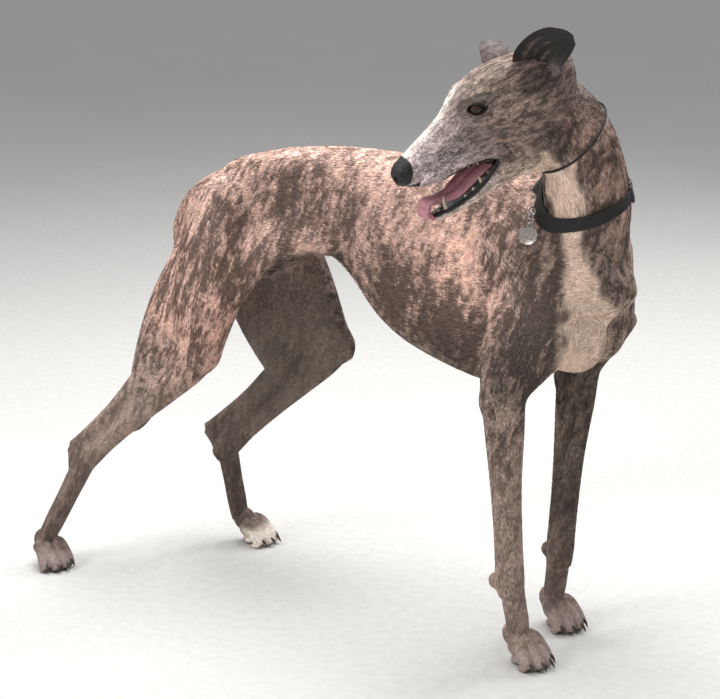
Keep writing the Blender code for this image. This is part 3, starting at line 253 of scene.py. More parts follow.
def remove(*objects):
    for obj in objects:
        mesh = obj.data
        bpy.data.objects.remove(obj)
        if mesh.users == 0:
            bpy.data.meshes.remove(mesh)


def evaluated_copy(obj, name):
    bpy.context.view_layer.update()
    graph = bpy.context.evaluated_depsgraph_get()
    mesh = bpy.data.meshes.new_from_object(obj.evaluated_get(graph))
    mesh.transform(obj.matrix_world)
    return new_object(name, mesh)


def joined(name, pieces):
    bm = bmesh.new()
    for piece in pieces:
        bm.from_mesh(piece.data)
    made = mesh_from(name, bm)
    remove(*pieces)
    return made


# Solid building blocks


def smooth_rows(rows, steps):
    """Catmull-Rom rows through the given ones, with the given steps between each pair."""
    table = np.array(rows, float)
    padded = np.vstack([2 * table[0] - table[1], table, 2 * table[-1] - table[-2]])
    made = []
    for i in range(len(table) - 1):
        p0, p1, p2, p3 = padded[i : i + 4]
        for t in np.linspace(0, 1, steps, endpoint=False):
            cubic = (3 * p1 - p0 - 3 * p2 + p3) * t**3
            square = (2 * p0 - 5 * p1 + 4 * p2 - p3) * t**2
            made.append(0.5 * (2 * p1 + (p2 - p0) * t + square + cubic))
    made.append(table[-1])
    return np.array(made)


def skin_rings(bm, rings):
    """Quads between rings of vertices, with both ends closed."""
    sides = len(rings[0])
    for low, high in zip(rings, rings[1:]):
        for k in range(sides):
            nxt = (k + 1) % sides
            bm.faces.new((low[k], low[nxt], high[nxt], high[k]))
    bm.faces.new(list(reversed(rings[0])))
    bm.faces.new(rings[-1])
    bmesh.ops.recalc_face_normals(bm, faces=bm.faces)


def loft(name, rows, sides=36, steps=6, keel=0.0, power=2.0):
    """A closed tube through rows of centre, half width, reach up, reach down and heading.

    The width runs along the left-hand side of the heading. Up is at right angles to that and
    to the path, so it's the back of a torso, the nape of a neck and the front of a leg.
    """
    fine = smooth_rows([tuple(r) + (0,) * (7 - len(r)) for r in rows], steps)
    tangents = np.gradient(fine[:, :3], axis=0)
    bm = bmesh.new()
    rings = []
    for row, tangent in zip(fine, tangents):
        heading = math.radians(row[6])
        forward = Vector(tangent).normalized()
        side = Vector((-math.sin(heading), math.cos(heading), 0))
        side = (side - forward * side.dot(forward)).normalized()
        up = forward.cross(side)
        ring = []
        for k in range(sides):
            angle = 2 * math.pi * k / sides
            c, s = math.cos(angle), math.sin(angle)
            c = math.copysign(abs(c) ** (2 / power), c)
            s = math.copysign(abs(s) ** (2 / power), s)
            width = row[3] * (1 - keel * max(0.0, -s))
            reach = row[4] if s > 0 else row[5]
            ring.append(bm.verts.new(Vector(row[:3]) + side * (width * c) + up * (reach * s)))
        rings.append(ring)
    skin_rings(bm, rings)
    return mesh_from(name, bm)


def profile_loft(name, rows, where=None, **options):
    """A loft along x from rows of x, top, height of the widest line, bottom, half width."""
    made = [(x, 0, mid, half, top - mid, mid - low) for x, top, mid, low, half in rows]
    obj = loft(name, made, **options)
    if where is not None:
        obj.data.transform(where)
    return obj


def limb(name, start, end, sections, **options):
    """A tapered limb: each section is share of the way, half width, front reach, back reach."""
    a, b = Vector(start), Vector(end)
    rows = [(*a.lerp(b, share), half, front, back) for share, half, front, back in sections]
    return loft(name, rows, **options)


def blob(name, centre, radii, turn=(0, 0, 0), segments=32):
    """An ellipsoid of the given radii, turned by angles about x, y and z in degrees."""
    bm = bmesh.new()
    bmesh.ops.create_uvsphere(bm, u_segments=segments, v_segments=segments // 2, radius=1)
    turned = Matrix.Identity(4)
    for angle, axis in zip(turn, "XYZ"):
        turned = Matrix.Rotation(math.radians(angle), 4, axis) @ turned
    bm.transform(Matrix.Translation(centre) @ turned @ Matrix.Diagonal((*radii, 1)))
    return mesh_from(name, bm)


def tube(name, points, radii, sides=12, steps=5):
    """A round tube through points, of the radii given for them."""
    fine = smooth_rows([(*p, r) for p, r in zip(points, radii)], steps)
    bm = bmesh.new()
    rings = []
    tangents = np.gradient(fine[:, :3], axis=0)
    side = Vector(tangents[0]).orthogonal().normalized()
    for row, tangent in zip(fine, tangents):
        forward = Vector(tangent).normalized()
        side = (side - forward * side.dot(forward)).normalized()
        up = forward.cross(side)
        ring = []
        for k in range(sides):
            angle = 2 * math.pi * k / sides
            way = side * math.cos(angle) + up * math.sin(angle)
            ring.append(bm.verts.new(Vector(row[:3]) + way * row[3]))
        rings.append(ring)
    skin_rings(bm, rings)
    return mesh_from(name, bm)


def slab(name, outline, low, high):
    """A prism: an outline of x and z, extruded from y low to y high."""
    bm = bmesh.new()
    face = bm.faces.new([bm.verts.new((x, low, z)) for x, z in outline])
    made = bmesh.ops.extrude_face_region(bm, geom=[face])
    lifted = [v for v in made["geom"] if isinstance(v, bmesh.types.BMVert)]
    bmesh.ops.translate(bm, verts=lifted, vec=(0, high - low, 0))
    bmesh.ops.recalc_face_normals(bm, faces=bm.faces)
    return mesh_from(name, bm)


def block(name, low, high, where=None, bevel=0.0):
    """A box between two corners, in a frame of its own, its edges rounded by the bevel."""
    bm = bmesh.new()
    bmesh.ops.create_cube(bm, size=1)
    centre = [(a + b) / 2 for a, b in zip(low, high)]
    size = [b - a for a, b in zip(low, high)]
    bm.transform(Matrix.Translation(centre) @ Matrix.Diagonal((*size, 1)))
    if bevel:
        edges = list(bm.edges)
        bmesh.ops.bevel(bm, geom=edges, offset=bevel, segments=3, profile=0.6, affect="EDGES")
    if where is not None:
        bm.transform(where)
    return mesh_from(name, bm)


def fuse(name, pieces, voxel, smoothing):
    """One closed skin round overlapping pieces, with its creases rounded."""
    whole = joined(name + "_pieces", pieces)
    remesh = whole.modifiers.new("Remesh", "REMESH")
    remesh.mode = "VOXEL"
    remesh.voxel_size = voxel
    soft = whole.modifiers.new("Smooth", "SMOOTH")
    soft.factor = 0.5
    soft.iterations = smoothing
    made = evaluated_copy(whole, name)
    remove(whole)
    return made


def combine(obj, cutter, operation):
    """obj cut, joined or crossed with the cutter, which is used up."""
    step = obj.modifiers.new("Boolean", "BOOLEAN")
    step.operation = operation
    step.solver = "MANIFOLD"
    step.object = cutter
    made = evaluated_copy(obj, obj.name)
    remove(obj, cutter)
    return made


# Neighbours on a mesh, for spreading values over it


class Spread:
    """The edges of a mesh, laid out so that each point's neighbours can be averaged."""

    def __init__(self, mesh):
        ends = np.empty(len(mesh.edges) * 2, np.int32)
        mesh.edges.foreach_get("vertices", ends)
        ends = ends.reshape(-1, 2)
        start = np.concatenate([ends[:, 0], ends[:, 1]])
        other = np.concatenate([ends[:, 1], ends[:, 0]])
        order = np.argsort(start, kind="stable")
        self.other = other[order]
        self.count = np.bincount(start, minlength=len(mesh.vertices))
        self.first = np.concatenate([[0], np.cumsum(self.count)[:-1]])

    def mean(self, values):
        return np.add.reduceat(values[self.other], self.first, axis=0) / self.count[:, None]

    def soften(self, values, rounds, weight=1.0):
        values = np.array(values, float)
        flat = values.ndim == 1
        if flat:
            values = values[:, None]
        for _ in range(rounds):
            values = values + (self.mean(values) - values) * (0.5 * weight)
        return values[:, 0] if flat else values


# The body


def torso_pieces():
    pieces = [profile_loft("torso_form", TORSO, keel=CHEST_KEEL, sides=48)]
    pieces.append(loft("neck_form", NECK, sides=40))
    for side in (-1, 1):
        pieces.append(blob("loin_muscle", (-0.35, 0.030 * side, 0.662), (0.17, 0.030, 0.038)))
        pieces.append(blob("rump_muscle", (-0.510, 0.040 * side, 0.600), (0.080, 0.044, 0.056), (0, -20, 0)))
        fold = [(x, y * side, *rest) for x, y, *rest in FLANK_FOLD]
        pieces.append(loft("flank_fold", fold, sides=28))
        breast = (0.070, 0.032 * side, 0.480)
        pieces.append(blob("breast_muscle", breast, (0.054, 0.036, 0.060), (0, -30, 0)))
        pieces.append(blob("neck_root", (0.060, 0.040 * side, 0.575), (0.070, 0.040, 0.070), (0, 20, 0)))
    pieces.append(blob("withers", (-0.040, 0, 0.668), (0.085, 0.034, 0.030)))
    pieces.append(blob("shoulder_front", (0.070, 0.052, 0.510), (0.058, 0.042, 0.078), (0, -8, 0)))
    return pieces


def foreleg_pieces(name, joints):
    side = -1 if name == "right" else 1
    shoulder, elbow, carpus = (Vector(joints[k]) for k in ("shoulder", "elbow", "carpus"))
    knuckle = Vector(joints["knuckle"])
    top = Vector(SHOULDER_TOP)
    top.y *= side
    blade = [(0.0, 0.016, 0.030, 0.030), (0.30, 0.026, 0.042, 0.052), (0.65, 0.031, 0.044, 0.052)]
    blade.append((1.0, 0.028, 0.034, 0.040))
    arm = [(0.0, 0.030, 0.036, 0.036), (0.45, 0.033, 0.034, 0.048), (0.85, 0.029, 0.028, 0.036)]
    arm.append((1.12, 0.020, 0.022, 0.024))
    forearm = [
        (-0.14, 0.025, 0.036, 0.032),
        (0.06, 0.0250, 0.0345, 0.0310),
        (0.22, 0.0230, 0.0300, 0.0280),
        (0.45, 0.0200, 0.0240, 0.0245),
        (0.68, 0.0185, 0.0218, 0.0222),
        (0.86, 0.0190, 0.0212, 0.0218),
        (1.00, 0.0205, 0.0215, 0.0215),
        (1.10, 0.0190, 0.0200, 0.0195),
    ]
    pastern = [
        (-0.20, 0.0190, 0.0200, 0.0200),
        (0.15, 0.0185, 0.0185, 0.0190),
        (0.55, 0.0180, 0.0165, 0.0175),
        (0.85, 0.0195, 0.0155, 0.0170),
        (1.08, 0.0185, 0.0120, 0.0130),
    ]
    return [
        limb("blade", top, shoulder, blade),
        limb("upper_arm", shoulder, elbow, arm),
        limb("forearm", elbow, carpus, forearm),
        limb("pastern", carpus, knuckle, pastern),
        blob("triceps", elbow + Vector((0.002, -0.004 * side, 0.068)), (0.040, 0.026, 0.080), (0, 14, 0)),
        blob("elbow_point", elbow + Vector((-0.026, 0.0, -0.006)), (0.014, 0.012, 0.024), (0, 8, 0)),
        blob("wrist_bone", carpus + Vector((-0.022, 0.003 * side, -0.008)), (0.011, 0.009, 0.013)),
        blob("wrist_front", carpus + Vector((0.006, 0.0, 0.002)), (0.015, 0.017, 0.022)),
    ]


def hindleg_pieces(name, joints):
    side = -1 if name == "right" else 1
    hip, stifle, hock, heel = (Vector(joints[k]) for k in ("hip", "stifle", "hock", "heel"))
    knuckle = Vector(joints["knuckle"])
    seat = Vector((-0.562, 0.040 * side, 0.535))
    calf_back = stifle.lerp(hock, 0.32) + Vector((-0.034, 0.0, 0.015))
    web_reach = (heel - hock).length * 0.78
    thigh = [
        (-0.10, 0.034, 0.050, 0.045),
        (0.20, 0.042, 0.062, 0.064),
        (0.50, 0.041, 0.058, 0.072),
        (0.80, 0.034, 0.044, 0.064),
        (1.00, 0.027, 0.031, 0.048),
        (1.12, 0.020, 0.022, 0.028),
    ]
    ham = [(-0.15, 0.024, 0.030, 0.032), (0.30, 0.034, 0.050, 0.044), (0.65, 0.032, 0.048, 0.042)]
    ham.append((1.0, 0.023, 0.034, 0.026))
    gaskin = [
        (-0.10, 0.022, 0.026, 0.030),
        (0.10, 0.025, 0.030, 0.034),
        (0.30, 0.023, 0.026, 0.032),
        (0.55, 0.0180, 0.0200, 0.0230),
        (0.80, 0.0160, 0.0170, 0.0170),
        (1.00, 0.0175, 0.0195, 0.0180),
        (1.08, 0.0165, 0.0180, 0.0170),
    ]
    cannon = [
        (-0.16, 0.0170, 0.0185, 0.0195),
        (0.10, 0.0170, 0.0175, 0.0195),
        (0.45, 0.0160, 0.0160, 0.0175),
        (0.80, 0.0175, 0.0150, 0.0165),
        (1.06, 0.0180, 0.0120, 0.0130),
    ]
    tendon = [calf_back, calf_back.lerp(heel, 0.45), heel.lerp(calf_back, 0.12), heel]
    web = [(0, 0.012, 0.012, 0.034), (1, 0.0085, 0.010, web_reach)]
    heel_bone = [(0, 0.0105, 0.0105, 0.0105), (1, 0.0130, 0.014, 0.014)]
    return [
        limb("thigh", hip, stifle, thigh),
        limb("ham", seat, calf_back, ham),
        limb("gaskin", stifle, hock, gaskin),
        limb("cannon", hock, Vector(joints.get("ankle", knuckle)), cannon),
        tube("tendon", tendon, (0.022, 0.0110, 0.0095, 0.0110)),
        limb("web", stifle.lerp(hock, 0.25), hock, web),
        blob("thigh_back", seat.lerp(stifle, 0.55), (0.050, 0.026, 0.060)),
        blob("knee_back", stifle.lerp(calf_back, 0.6) + Vector((0, 0, 0.020)), (0.030, 0.016, 0.030)),
        limb("heel_bone", heel, hock.lerp(knuckle, 0.22), heel_bone),
        blob("kneecap", stifle + Vector((0.018, 0.0, 0.006)), (0.020, 0.019, 0.028)),
    ]


# Heights between which the muscles of the trunk start to be rounded over
SOFT_FROM = 0.34
SOFT_FADE = 0.08


def body_flesh():
    pieces = torso_pieces()
    for name, joints in FORE.items():
        pieces += foreleg_pieces(name, joints)
    for name, joints in HIND.items():
        pieces += hindleg_pieces(name, joints)
    ratio = (0.0045 / BODY_VOXEL) ** 2
    whole = fuse("body_flesh", pieces, BODY_VOXEL, round(3 * ratio))
    points = coordinates(whole.data)
    share = np.clip((points[:, 2] - SOFT_FROM) / SOFT_FADE, 0, 1)[:, None]
    set_coordinates(whole.data, Spread(whole.data).soften(points, round(40 * ratio), share))
    return whole


# Paws

TOES = [(-0.0175, -0.010, -9), (-0.0062, 0.0, -3), (0.0062, 0.0, 3), (0.0175, -0.010, 9)]
FORE_TOE_REACH = 0.047
HIND_TOE_REACH = 0.045


def paw_frame(joints):
    knuckle = Vector(joints["knuckle"])
    turn = Matrix.Rotation(math.radians(joints["heading"]), 4, "Z")
    return Matrix.Translation((knuckle.x, knuckle.y, 0)) @ turn


def toe_rows(offset, back, splay, reach):
    """One arched toe from the knuckle to the tip, in the paw's frame."""
    spread = math.tan(math.radians(splay))
    rows = []
    shape = [
        (-0.006, 0.036, 0.0090, 0.0110, 0.0110),
        (0.30, 0.0350, 0.0088, 0.0105, 0.0120),
        (0.55, 0.0275, 0.0087, 0.0110, 0.0120),
        (0.80, 0.0165, 0.0085, 0.0105, 0.0125),
        (0.98, 0.0100, 0.0070, 0.0075, 0.0105),
        (1.08, 0.0070, 0.0040, 0.0045, 0.0060),
    ]
    for share, height, half, up, down in shape:
        ahead = (reach + back) * share
        rows.append((ahead, offset + ahead * spread, height, half, up, down))
    return rows


def paw_pieces(joints, reach):
    where = paw_frame(joints)
    pieces = []
    for offset, back, splay in TOES:
        toe = loft("toe", toe_rows(offset, back, splay, reach), sides=24, steps=5)
        tip = (reach + back) * 0.86
        drift = offset + tip * math.tan(math.radians(splay))
        pad = blob("toe_pad", (tip - 0.004, drift, 0.0030), (0.0095, 0.0066, 0.0055))
        pieces += [toe, pad]
    pieces.append(blob("sole_pad", (0.006, 0, 0.0055), (0.015, 0.017, 0.0085)))
    pieces.append(blob("paw_core", (0.004, 0, 0.026), (0.020, 0.0205, 0.018)))
    pieces.append(blob("web", (0.024, 0, 0.018), (0.020, 0.021, 0.0125), (0, 16, 0)))
    pieces.append(blob("ankle_form", (-0.008, 0, 0.040), (0.020, 0.0165, 0.020)))
    for piece in pieces:
        piece.data.transform(where)
    return pieces


def paw_flesh(kind, name, joints):
    reach = FORE_TOE_REACH if kind == "fore" else HIND_TOE_REACH
    leg = foreleg_pieces(name, joints) if kind == "fore" else hindleg_pieces(name, joints)
    end = [piece for piece in leg if piece.name.startswith(("pastern", "cannon"))]
    remove(*[piece for piece in leg if piece not in end])
    ratio = (0.0019 / PAW_VOXEL) ** 2
    made = fuse("paw_flesh", paw_pieces(joints, reach) + end, PAW_VOXEL, round(3 * ratio))
    points = coordinates(made.data)
    points[:, 2] = np.maximum(points[:, 2], 0.0002)
    set_coordinates(made.data, points)
    return made


def claws():
    """A curved, tapering claw at the end of each toe."""
    made = []
    for kind, legs in (("fore", FORE), ("hind", HIND)):
        reach = FORE_TOE_REACH if kind == "fore" else HIND_TOE_REACH
        for joints in legs.values():
            where = paw_frame(joints)
            for offset, back, splay in TOES:
                tip = (reach + back) * 1.02
                drift = offset + tip * math.tan(math.radians(splay))
                ahead = (tip - 0.009, tip - 0.002, tip + 0.004, tip + 0.008, tip + 0.0105)
                height = (0.0155, 0.0150, 0.0128, 0.0085, 0.0042)
                points = [where @ Vector((a, drift, h)) for a, h in zip(ahead, height)]
                radii = (0.0027, 0.0028, 0.0024, 0.0016, 0.0005)
                made.append(tube("claw", points, radii, sides=10, steps=4))
    return joined("claws", made)


# The head


def head_frame():
    heading = Matrix.Rotation(math.radians(HEAD_HEADING), 4, "Z")
    drop = Matrix.Rotation(math.radians(-HEAD_DROP), 4, "Y")
    return Matrix.Translation(HEAD_ORIGIN) @ heading @ drop


def eye_matrix(side):
    """The eye's own frame: x looks out of the eye, z up."""
    centre = Vector(EYE_CENTRE)
    centre.y *= side
    turn = Matrix.Rotation(math.radians(EYE_OUTWARD * side), 4, "Z")
    return head_frame() @ Matrix.Translation(centre) @ turn


def slanted(side):
    return eye_matrix(side) @ Matrix.Rotation(math.radians(-EYE_SLANT * side), 4, "X")


def head_pieces():
    where = head_frame()
    pieces = [
        profile_loft("skull", SKULL, where, sides=48, power=2.15),
        profile_loft("mandible", MANDIBLE, where, sides=36, power=2.2),
    ]
    for side in (-1, 1):
        forms = [
            ("cheek", (0.070, 0.028 * side, 0.000), (0.046, 0.021, 0.046), (0, -20, 0)),
            ("cheekbone", (0.102, 0.034 * side, 0.038), (0.040, 0.012, 0.015), (0, 12, -14 * side)),
            ("brow", (0.133, 0.021 * side, 0.0800), (0.021, 0.013, 0.012), (0, 22, 0)),
            ("temple", (0.080, 0.028 * side, 0.070), (0.036, 0.018, 0.022), (0, 5, 0)),
            ("socket_rim", (0.1285, 0.0290 * side, 0.0640), (0.0190, 0.0135, 0.0160), (0, 0, 0)),
            ("lip_corner", (0.128, 0.0235 * side, -0.006), (0.017, 0.005, 0.013), (0, 0, 10 * side)),
            ("lip_side", (0.205, 0.0185 * side, 0.0140), (0.045, 0.0050, 0.0125), (0, 4, 4 * side)),
        ]
        for name, centre, radii, turn in forms:
            piece = blob(name, centre, radii, turn)
            piece.data.transform(where)
            pieces.append(piece)
    return pieces


def mouth_cutter():
    """The space of the open mouth: a wedge between the lips that ends at their corner."""
    rows = [
        (0.128, -0.006, -0.012, -0.018, 0.0190),
        (0.145, -0.001, -0.010, -0.024, 0.0190),
        (0.170, 0.007, -0.009, -0.031, 0.0165),
        (0.200, 0.016, -0.010, -0.035, 0.0145),
        (0.225, 0.016, -0.008, -0.035, 0.0110),
        (0.238, 0.014, -0.008, -0.031, 0.0070),
    ]
    return profile_loft("mouth_space", rows, head_frame(), sides=32)


UPPER_LIP = [(0.1385, -0.0105), (0.158, -0.002), (0.190, 0.0035), (0.215, 0.0050), (0.236, 0.0120)]
LOWER_LIP = [(0.252, -0.0240), (0.236, -0.0290), (0.205, -0.0300), (0.175, -0.0270), (0.150, -0.0200)]


# Middle of the lip rolls on the left, from the corner of the mouth to the front, and their radii
UPPER_ROLL = [
    (0.1360, 0.0235, -0.0095),
    (0.1480, 0.0238, -0.0030),
    (0.1600, 0.0232, 0.0015),
    (0.1780, 0.0220, 0.0042),
    (0.1990, 0.0205, 0.0050),
    (0.2170, 0.0188, 0.0066),
    (0.2370, 0.0150, 0.0118),
    (0.2510, 0.0095, 0.0190),
    (0.2575, 0.0000, 0.0225),
]
LIP_WALL_BACK = (0.1220, 0.0245, -0.0080)
UPPER_ROLL_RADII = (0.0024, 0.0026, 0.0026, 0.0024, 0.0023, 0.0022, 0.0021, 0.0020, 0.0018)
LOWER_ROLL = [
    (0.1360, 0.0225, -0.0120),
    (0.1500, 0.0222, -0.0190),
    (0.1680, 0.0203, -0.0272),
    (0.1860, 0.0185, -0.0318),
    (0.2060, 0.0163, -0.0340),
    (0.2250, 0.0132, -0.0342),
    (0.2390, 0.0088, -0.0330),
    (0.2460, 0.0000, -0.0320),
]
LOWER_ROLL_RADII = (0.0026, 0.0032, 0.0034, 0.0034, 0.0033, 0.0032, 0.0031, 0.0031)


# The bare black band of the lower lip: x and z of its middle line
LOWER_LIP_BAND = [
    (0.140, -0.0110),
    (0.155, -0.0195),
    (0.1725, -0.0275),
    (0.190, -0.0315),
    (0.2095, -0.0335),
    (0.2275, -0.0338),
    (0.244, -0.0325),
]


def lip_rolls():
    lines = [(UPPER_ROLL, UPPER_ROLL_RADII), (LOWER_ROLL, LOWER_ROLL_RADII)]
    for lift in (0.0038, 0.0078, 0.0120, 0.0160):
        wall = [(x, y + 0.0003 + 0.02 * lift, z + lift) for x, y, z in [LIP_WALL_BACK, *UPPER_ROLL[:6]]]
        lines.append((wall, (0.0036,) * len(wall)))
    made = []
    for side in (-1, 1):
        for line, radii in lines:
            roll = tube("lip_roll", [(x, y * side, z) for x, y, z in line], radii, sides=16)
            roll.data.transform(head_frame())
            made.append(roll)
        for centre, radii in (((0.137, 0.0215, 0.0060), (0.024, 0.0060, 0.0150)), ((0.160, 0.0205, 0.0140), (0.026, 0.0050, 0.0100))):
            fill = blob("cheek_fill", (centre[0], centre[1] * side, centre[2]), radii)
            fill.data.transform(head_frame())
            made.append(fill)
    return made


def mouth_gap():
    """The opening between the lips, right across the face."""
    outline = [*UPPER_LIP, (0.300, 0.020), (0.300, -0.020), *LOWER_LIP]
    obj = slab("mouth_gap", outline, -0.08, 0.08)
    obj.data.transform(head_frame())
    return obj


def eye_opening(side):
    """The almond between the lids, cut straight out from the ball."""
    bm = bmesh.new()
    ring = []
    for k in range(40):
        angle = 2 * math.pi * k / 40
        c, s = math.cos(angle), math.sin(angle)
        tall = LID_UP if s > 0 else LID_DOWN
        ring.append(bm.verts.new((0.004, LID_HALF * c, tall * math.copysign(abs(s) ** 1.25, s))))
    made = bmesh.ops.extrude_face_region(bm, geom=[bm.faces.new(ring)])
    lifted = [v for v in made["geom"] if isinstance(v, bmesh.types.BMVert)]
    bmesh.ops.translate(bm, verts=lifted, vec=(0.03, 0, 0))
    bmesh.ops.recalc_face_normals(bm, faces=bm.faces)
    bm.transform(slanted(side))
    return mesh_from("eye_opening", bm)


def head_flesh(voxel):
    pieces = head_pieces() + [loft("neck_form", NECK, sides=40)]
    whole = fuse("head_flesh", pieces, voxel, round(5 * (0.0024 / voxel) ** 2))
    whole = combine(whole, mouth_gap(), "DIFFERENCE")
    whole = combine(whole, mouth_cutter(), "DIFFERENCE")
    whole = fuse("head_flesh", [whole, *lip_rolls()], voxel, round(2 * (0.0024 / voxel) ** 2))
    for side in (-1, 1):
        socket = blob("socket", (0, 0, 0), (EYE_RADIUS + 0.0010,) * 3)
        socket.data.transform(eye_matrix(side))
        whole = combine(whole, eye_opening(side), "DIFFERENCE")
        whole = combine(whole, socket, "DIFFERENCE")
    return whole


NOSE_OUTLINE = [
    (0.2470, 0.0700),
    (0.2395, 0.0570),
    (0.2370, 0.0470),
    (0.2405, 0.0340),
    (0.2500, 0.0225),
    (0.3000, 0.0180),
    (0.3000, 0.0700),
]


def nose():
    """The nose leather: the front of the muzzle with nostrils, their slits and the groove between."""
    where = head_frame()
    voxel = 0.0007
    whole = fuse("nose", head_pieces(), voxel, round(5 * (0.0024 / voxel) ** 2))
    cell = slab("nose_cell", NOSE_OUTLINE, -0.08, 0.08)
    cell.data.transform(where)
    whole = combine(whole, cell, "INTERSECT")
    for side in (-1, 1):
        hole = blob("nostril", (0.2625, 0.0080 * side, 0.0365), (0.0085, 0.0038, 0.0046), (18 * side, 0, 0))
        slit = tube(
            "slit",
            [(0.264, 0.0085 * side, 0.0335), (0.2595, 0.0125 * side, 0.0322), (0.250, 0.0168 * side, 0.0345)],
            (0.0014, 0.0014, 0.0009),
        )
        for cutter in (hole, slit):
            cutter.data.transform(where)
            whole = combine(whole, cutter, "DIFFERENCE")
    groove = tube("groove", [(0.2665, 0, 0.044), (0.2675, 0, 0.034), (0.2625, 0, 0.022)], (0.0004, 0.0009, 0.0012))
    groove.data.transform(where)
    whole = combine(whole, groove, "DIFFERENCE")
    return fuse("nose", [whole], voxel, 3)


# Teeth and tongue


def tooth(centre, length, radius, lean=(0, 0)):
    """A pointed tooth in the head's frame, from its root to its tip."""
    x, y, z = centre
    points = [(x, y, z)]
    points.append((x + lean[0] * 0.3, y + lean[1] * 0.3, z + length * 0.4))
    points.append((x + lean[0] * 0.6, y + lean[1] * 0.6, z + length * 0.75))
    points.append((x + lean[0], y + lean[1], z + length))
    return tube("tooth", points, (radius, radius * 0.86, radius * 0.5, radius * 0.12), sides=12, steps=4)


def teeth():
    """Both rows: the upper ones mostly behind the lip, the lower canines in front."""
    made = []
    for side in (-1, 1):
        made.append(tooth((0.2320, 0.0130 * side, 0.0220), -0.0170, 0.0030, (-0.002, 0.0)))
        for k in range(5):
            x = 0.150 + 0.0125 * k
            across = (0.0172 - 0.0005 * k) * side
            tip = -0.0150 + 0.0022 * k
            made.append(tooth((x, across, 0.0080 + 0.0010 * k), tip, 0.0044 - 0.0003 * k))
            made.append(tooth((x + 0.0052, across, 0.0080 + 0.0010 * k), tip * 0.8, 0.0030))
        for k in range(3):
            place = (0.2400 - 0.0010 * k, (0.0020 + 0.0030 * k) * side, 0.0210)
            made.append(tooth(place, -0.0080, 0.0016))
        made.append(tooth((0.2285, 0.0108 * side, -0.0400), 0.0240, 0.0033, (-0.007, 0.0)))
        for k, tall in enumerate((0.0125, 0.0140, 0.0066, 0.0052)):
            x = 0.156 + 0.0135 * k
            across = (0.0168 - 0.0014 * k) * side
            low = -0.0300 - 0.0014 * k
            made.append(tooth((x, across, low), tall, 0.0036))
            made.append(tooth((x - 0.0050, across, low), tall * 0.62, 0.0026))
        for k in range(3):
            place = (0.2385 - 0.0010 * k, (0.0015 + 0.0026 * k) * side, -0.0345)
            made.append(tooth(place, 0.0085, 0.0014))
    whole = joined("teeth", made)
    whole.data.transform(head_frame())
    return whole


def mouth_lining():
    """Palate, floor and the folds of cheek behind the teeth, which close the back of the mouth, coloured near black
    with the gums as painted shade inside the mouth.
    """
    rows = [
        (0.112, 0.004, -0.010, -0.026, 0.0170),
        (0.135, 0.006, -0.009, -0.028, 0.0175),
        (0.146, 0.004, -0.008, -0.026, 0.0160),
        (0.152, -0.002, -0.010, -0.020, 0.0110),
    ]
    made = [profile_loft("back_of_mouth", rows, sides=32)]
    palate = [
        (0.135, 0.016, 0.010, 0.002, 0.0150),
        (0.170, 0.022, 0.014, 0.006, 0.0140),
        (0.205, 0.024, 0.017, 0.009, 0.0120),
        (0.235, 0.024, 0.019, 0.014, 0.0080),
    ]
    made.append(profile_loft("palate", palate, sides=28))
    for side in (-1, 1):
        gum = [(0.150, 0.0165 * side, -0.0300), (0.180, 0.0150 * side, -0.0340), (0.210, 0.0118 * side, -0.0370)]
        gum += [(0.230, 0.0085 * side, -0.0350), (0.2385, 0.0020 * side, -0.0335)]
        made.append(tube("gum", gum, (0.0030, 0.0032, 0.0032, 0.0030, 0.0026)))
    whole = joined("mouth_lining", made)
    whole.data.transform(head_frame())
    return whole


# The tongue's middle line with half width, thickness and how far it rolls over its left edge
TONGUE = [
    (0.112, 0.0000, -0.0160, 0.0120, 0.0080, 0),
    (0.135, 0.0000, -0.0140, 0.0135, 0.0080, -10),
    (0.155, 0.0000, -0.0130, 0.0145, 0.0070, -24),
    (0.178, 0.0010, -0.0145, 0.0152, 0.0062, -36),
    (0.200, 0.0020, -0.0190, 0.0150, 0.0056, -38),
    (0.213, 0.0010, -0.0205, 0.0125, 0.0052, -34),
    (0.224, 0.0000, -0.0185, 0.0098, 0.0046, -26),
    (0.2335, 0.0035, -0.0160, 0.0105, 0.0042, -22),
    (0.2415, 0.0075, -0.0130, 0.0140, 0.0038, -20),
    (0.2480, 0.0105, -0.0165, 0.0155, 0.0036, -16),
    (0.2505, 0.0122, -0.0240, 0.0140, 0.0032, -12),
    (0.2482, 0.0133, -0.0310, 0.0090, 0.0026, -8),
    (0.2455, 0.0138, -0.0345, 0.0030, 0.0014, 0),
]
TONGUE_TIP_FROM = 0.66


def tongue():
    """The tongue lies over the left side of the lower jaw, grooved, with its tip cupped."""
    fine = smooth_rows(TONGUE, 8)
    tangents = np.gradient(fine[:, :3], axis=0)
    bm = bmesh.new()
    rings = []
    sides = 40
    for i, (row, tangent) in enumerate(zip(fine, tangents)):
        along = i / (len(fine) - 1)
        cupped = max(0.0, (along - TONGUE_TIP_FROM) / (1 - TONGUE_TIP_FROM))
        forward = Vector(tangent).normalized()
        side = Vector((0, 1, 0))
        side = (side - forward * side.dot(forward)).normalized()
        side = Matrix.Rotation(math.radians(row[5]), 3, forward) @ side
        up = forward.cross(side)
        ring = []
        for k in range(sides):
            angle = 2 * math.pi * k / sides
            c, s = math.cos(angle), math.sin(angle)
            groove = 0.0020 * math.exp(-((c * row[3] / 0.0024) ** 2)) if s > 0 else 0.0
            edge = (0.0012 + 0.0050 * math.sin(math.pi * min(cupped * 1.1, 1.0))) * abs(c) ** 3
            ripple = 0.0005 * math.sin(along * 60 + c * 2) * abs(c) ** 2
            lift = row[4] * s - groove + edge + ripple
            ring.append(bm.verts.new(Vector(row[:3]) + side * (row[3] * c) + up * lift))
        rings.append(ring)
    skin_rings(bm, rings)
    bm.transform(head_frame())
    return mesh_from("tongue", bm)


# Ears: rows from root to tip in the head's frame: centre, across, half width, hollow

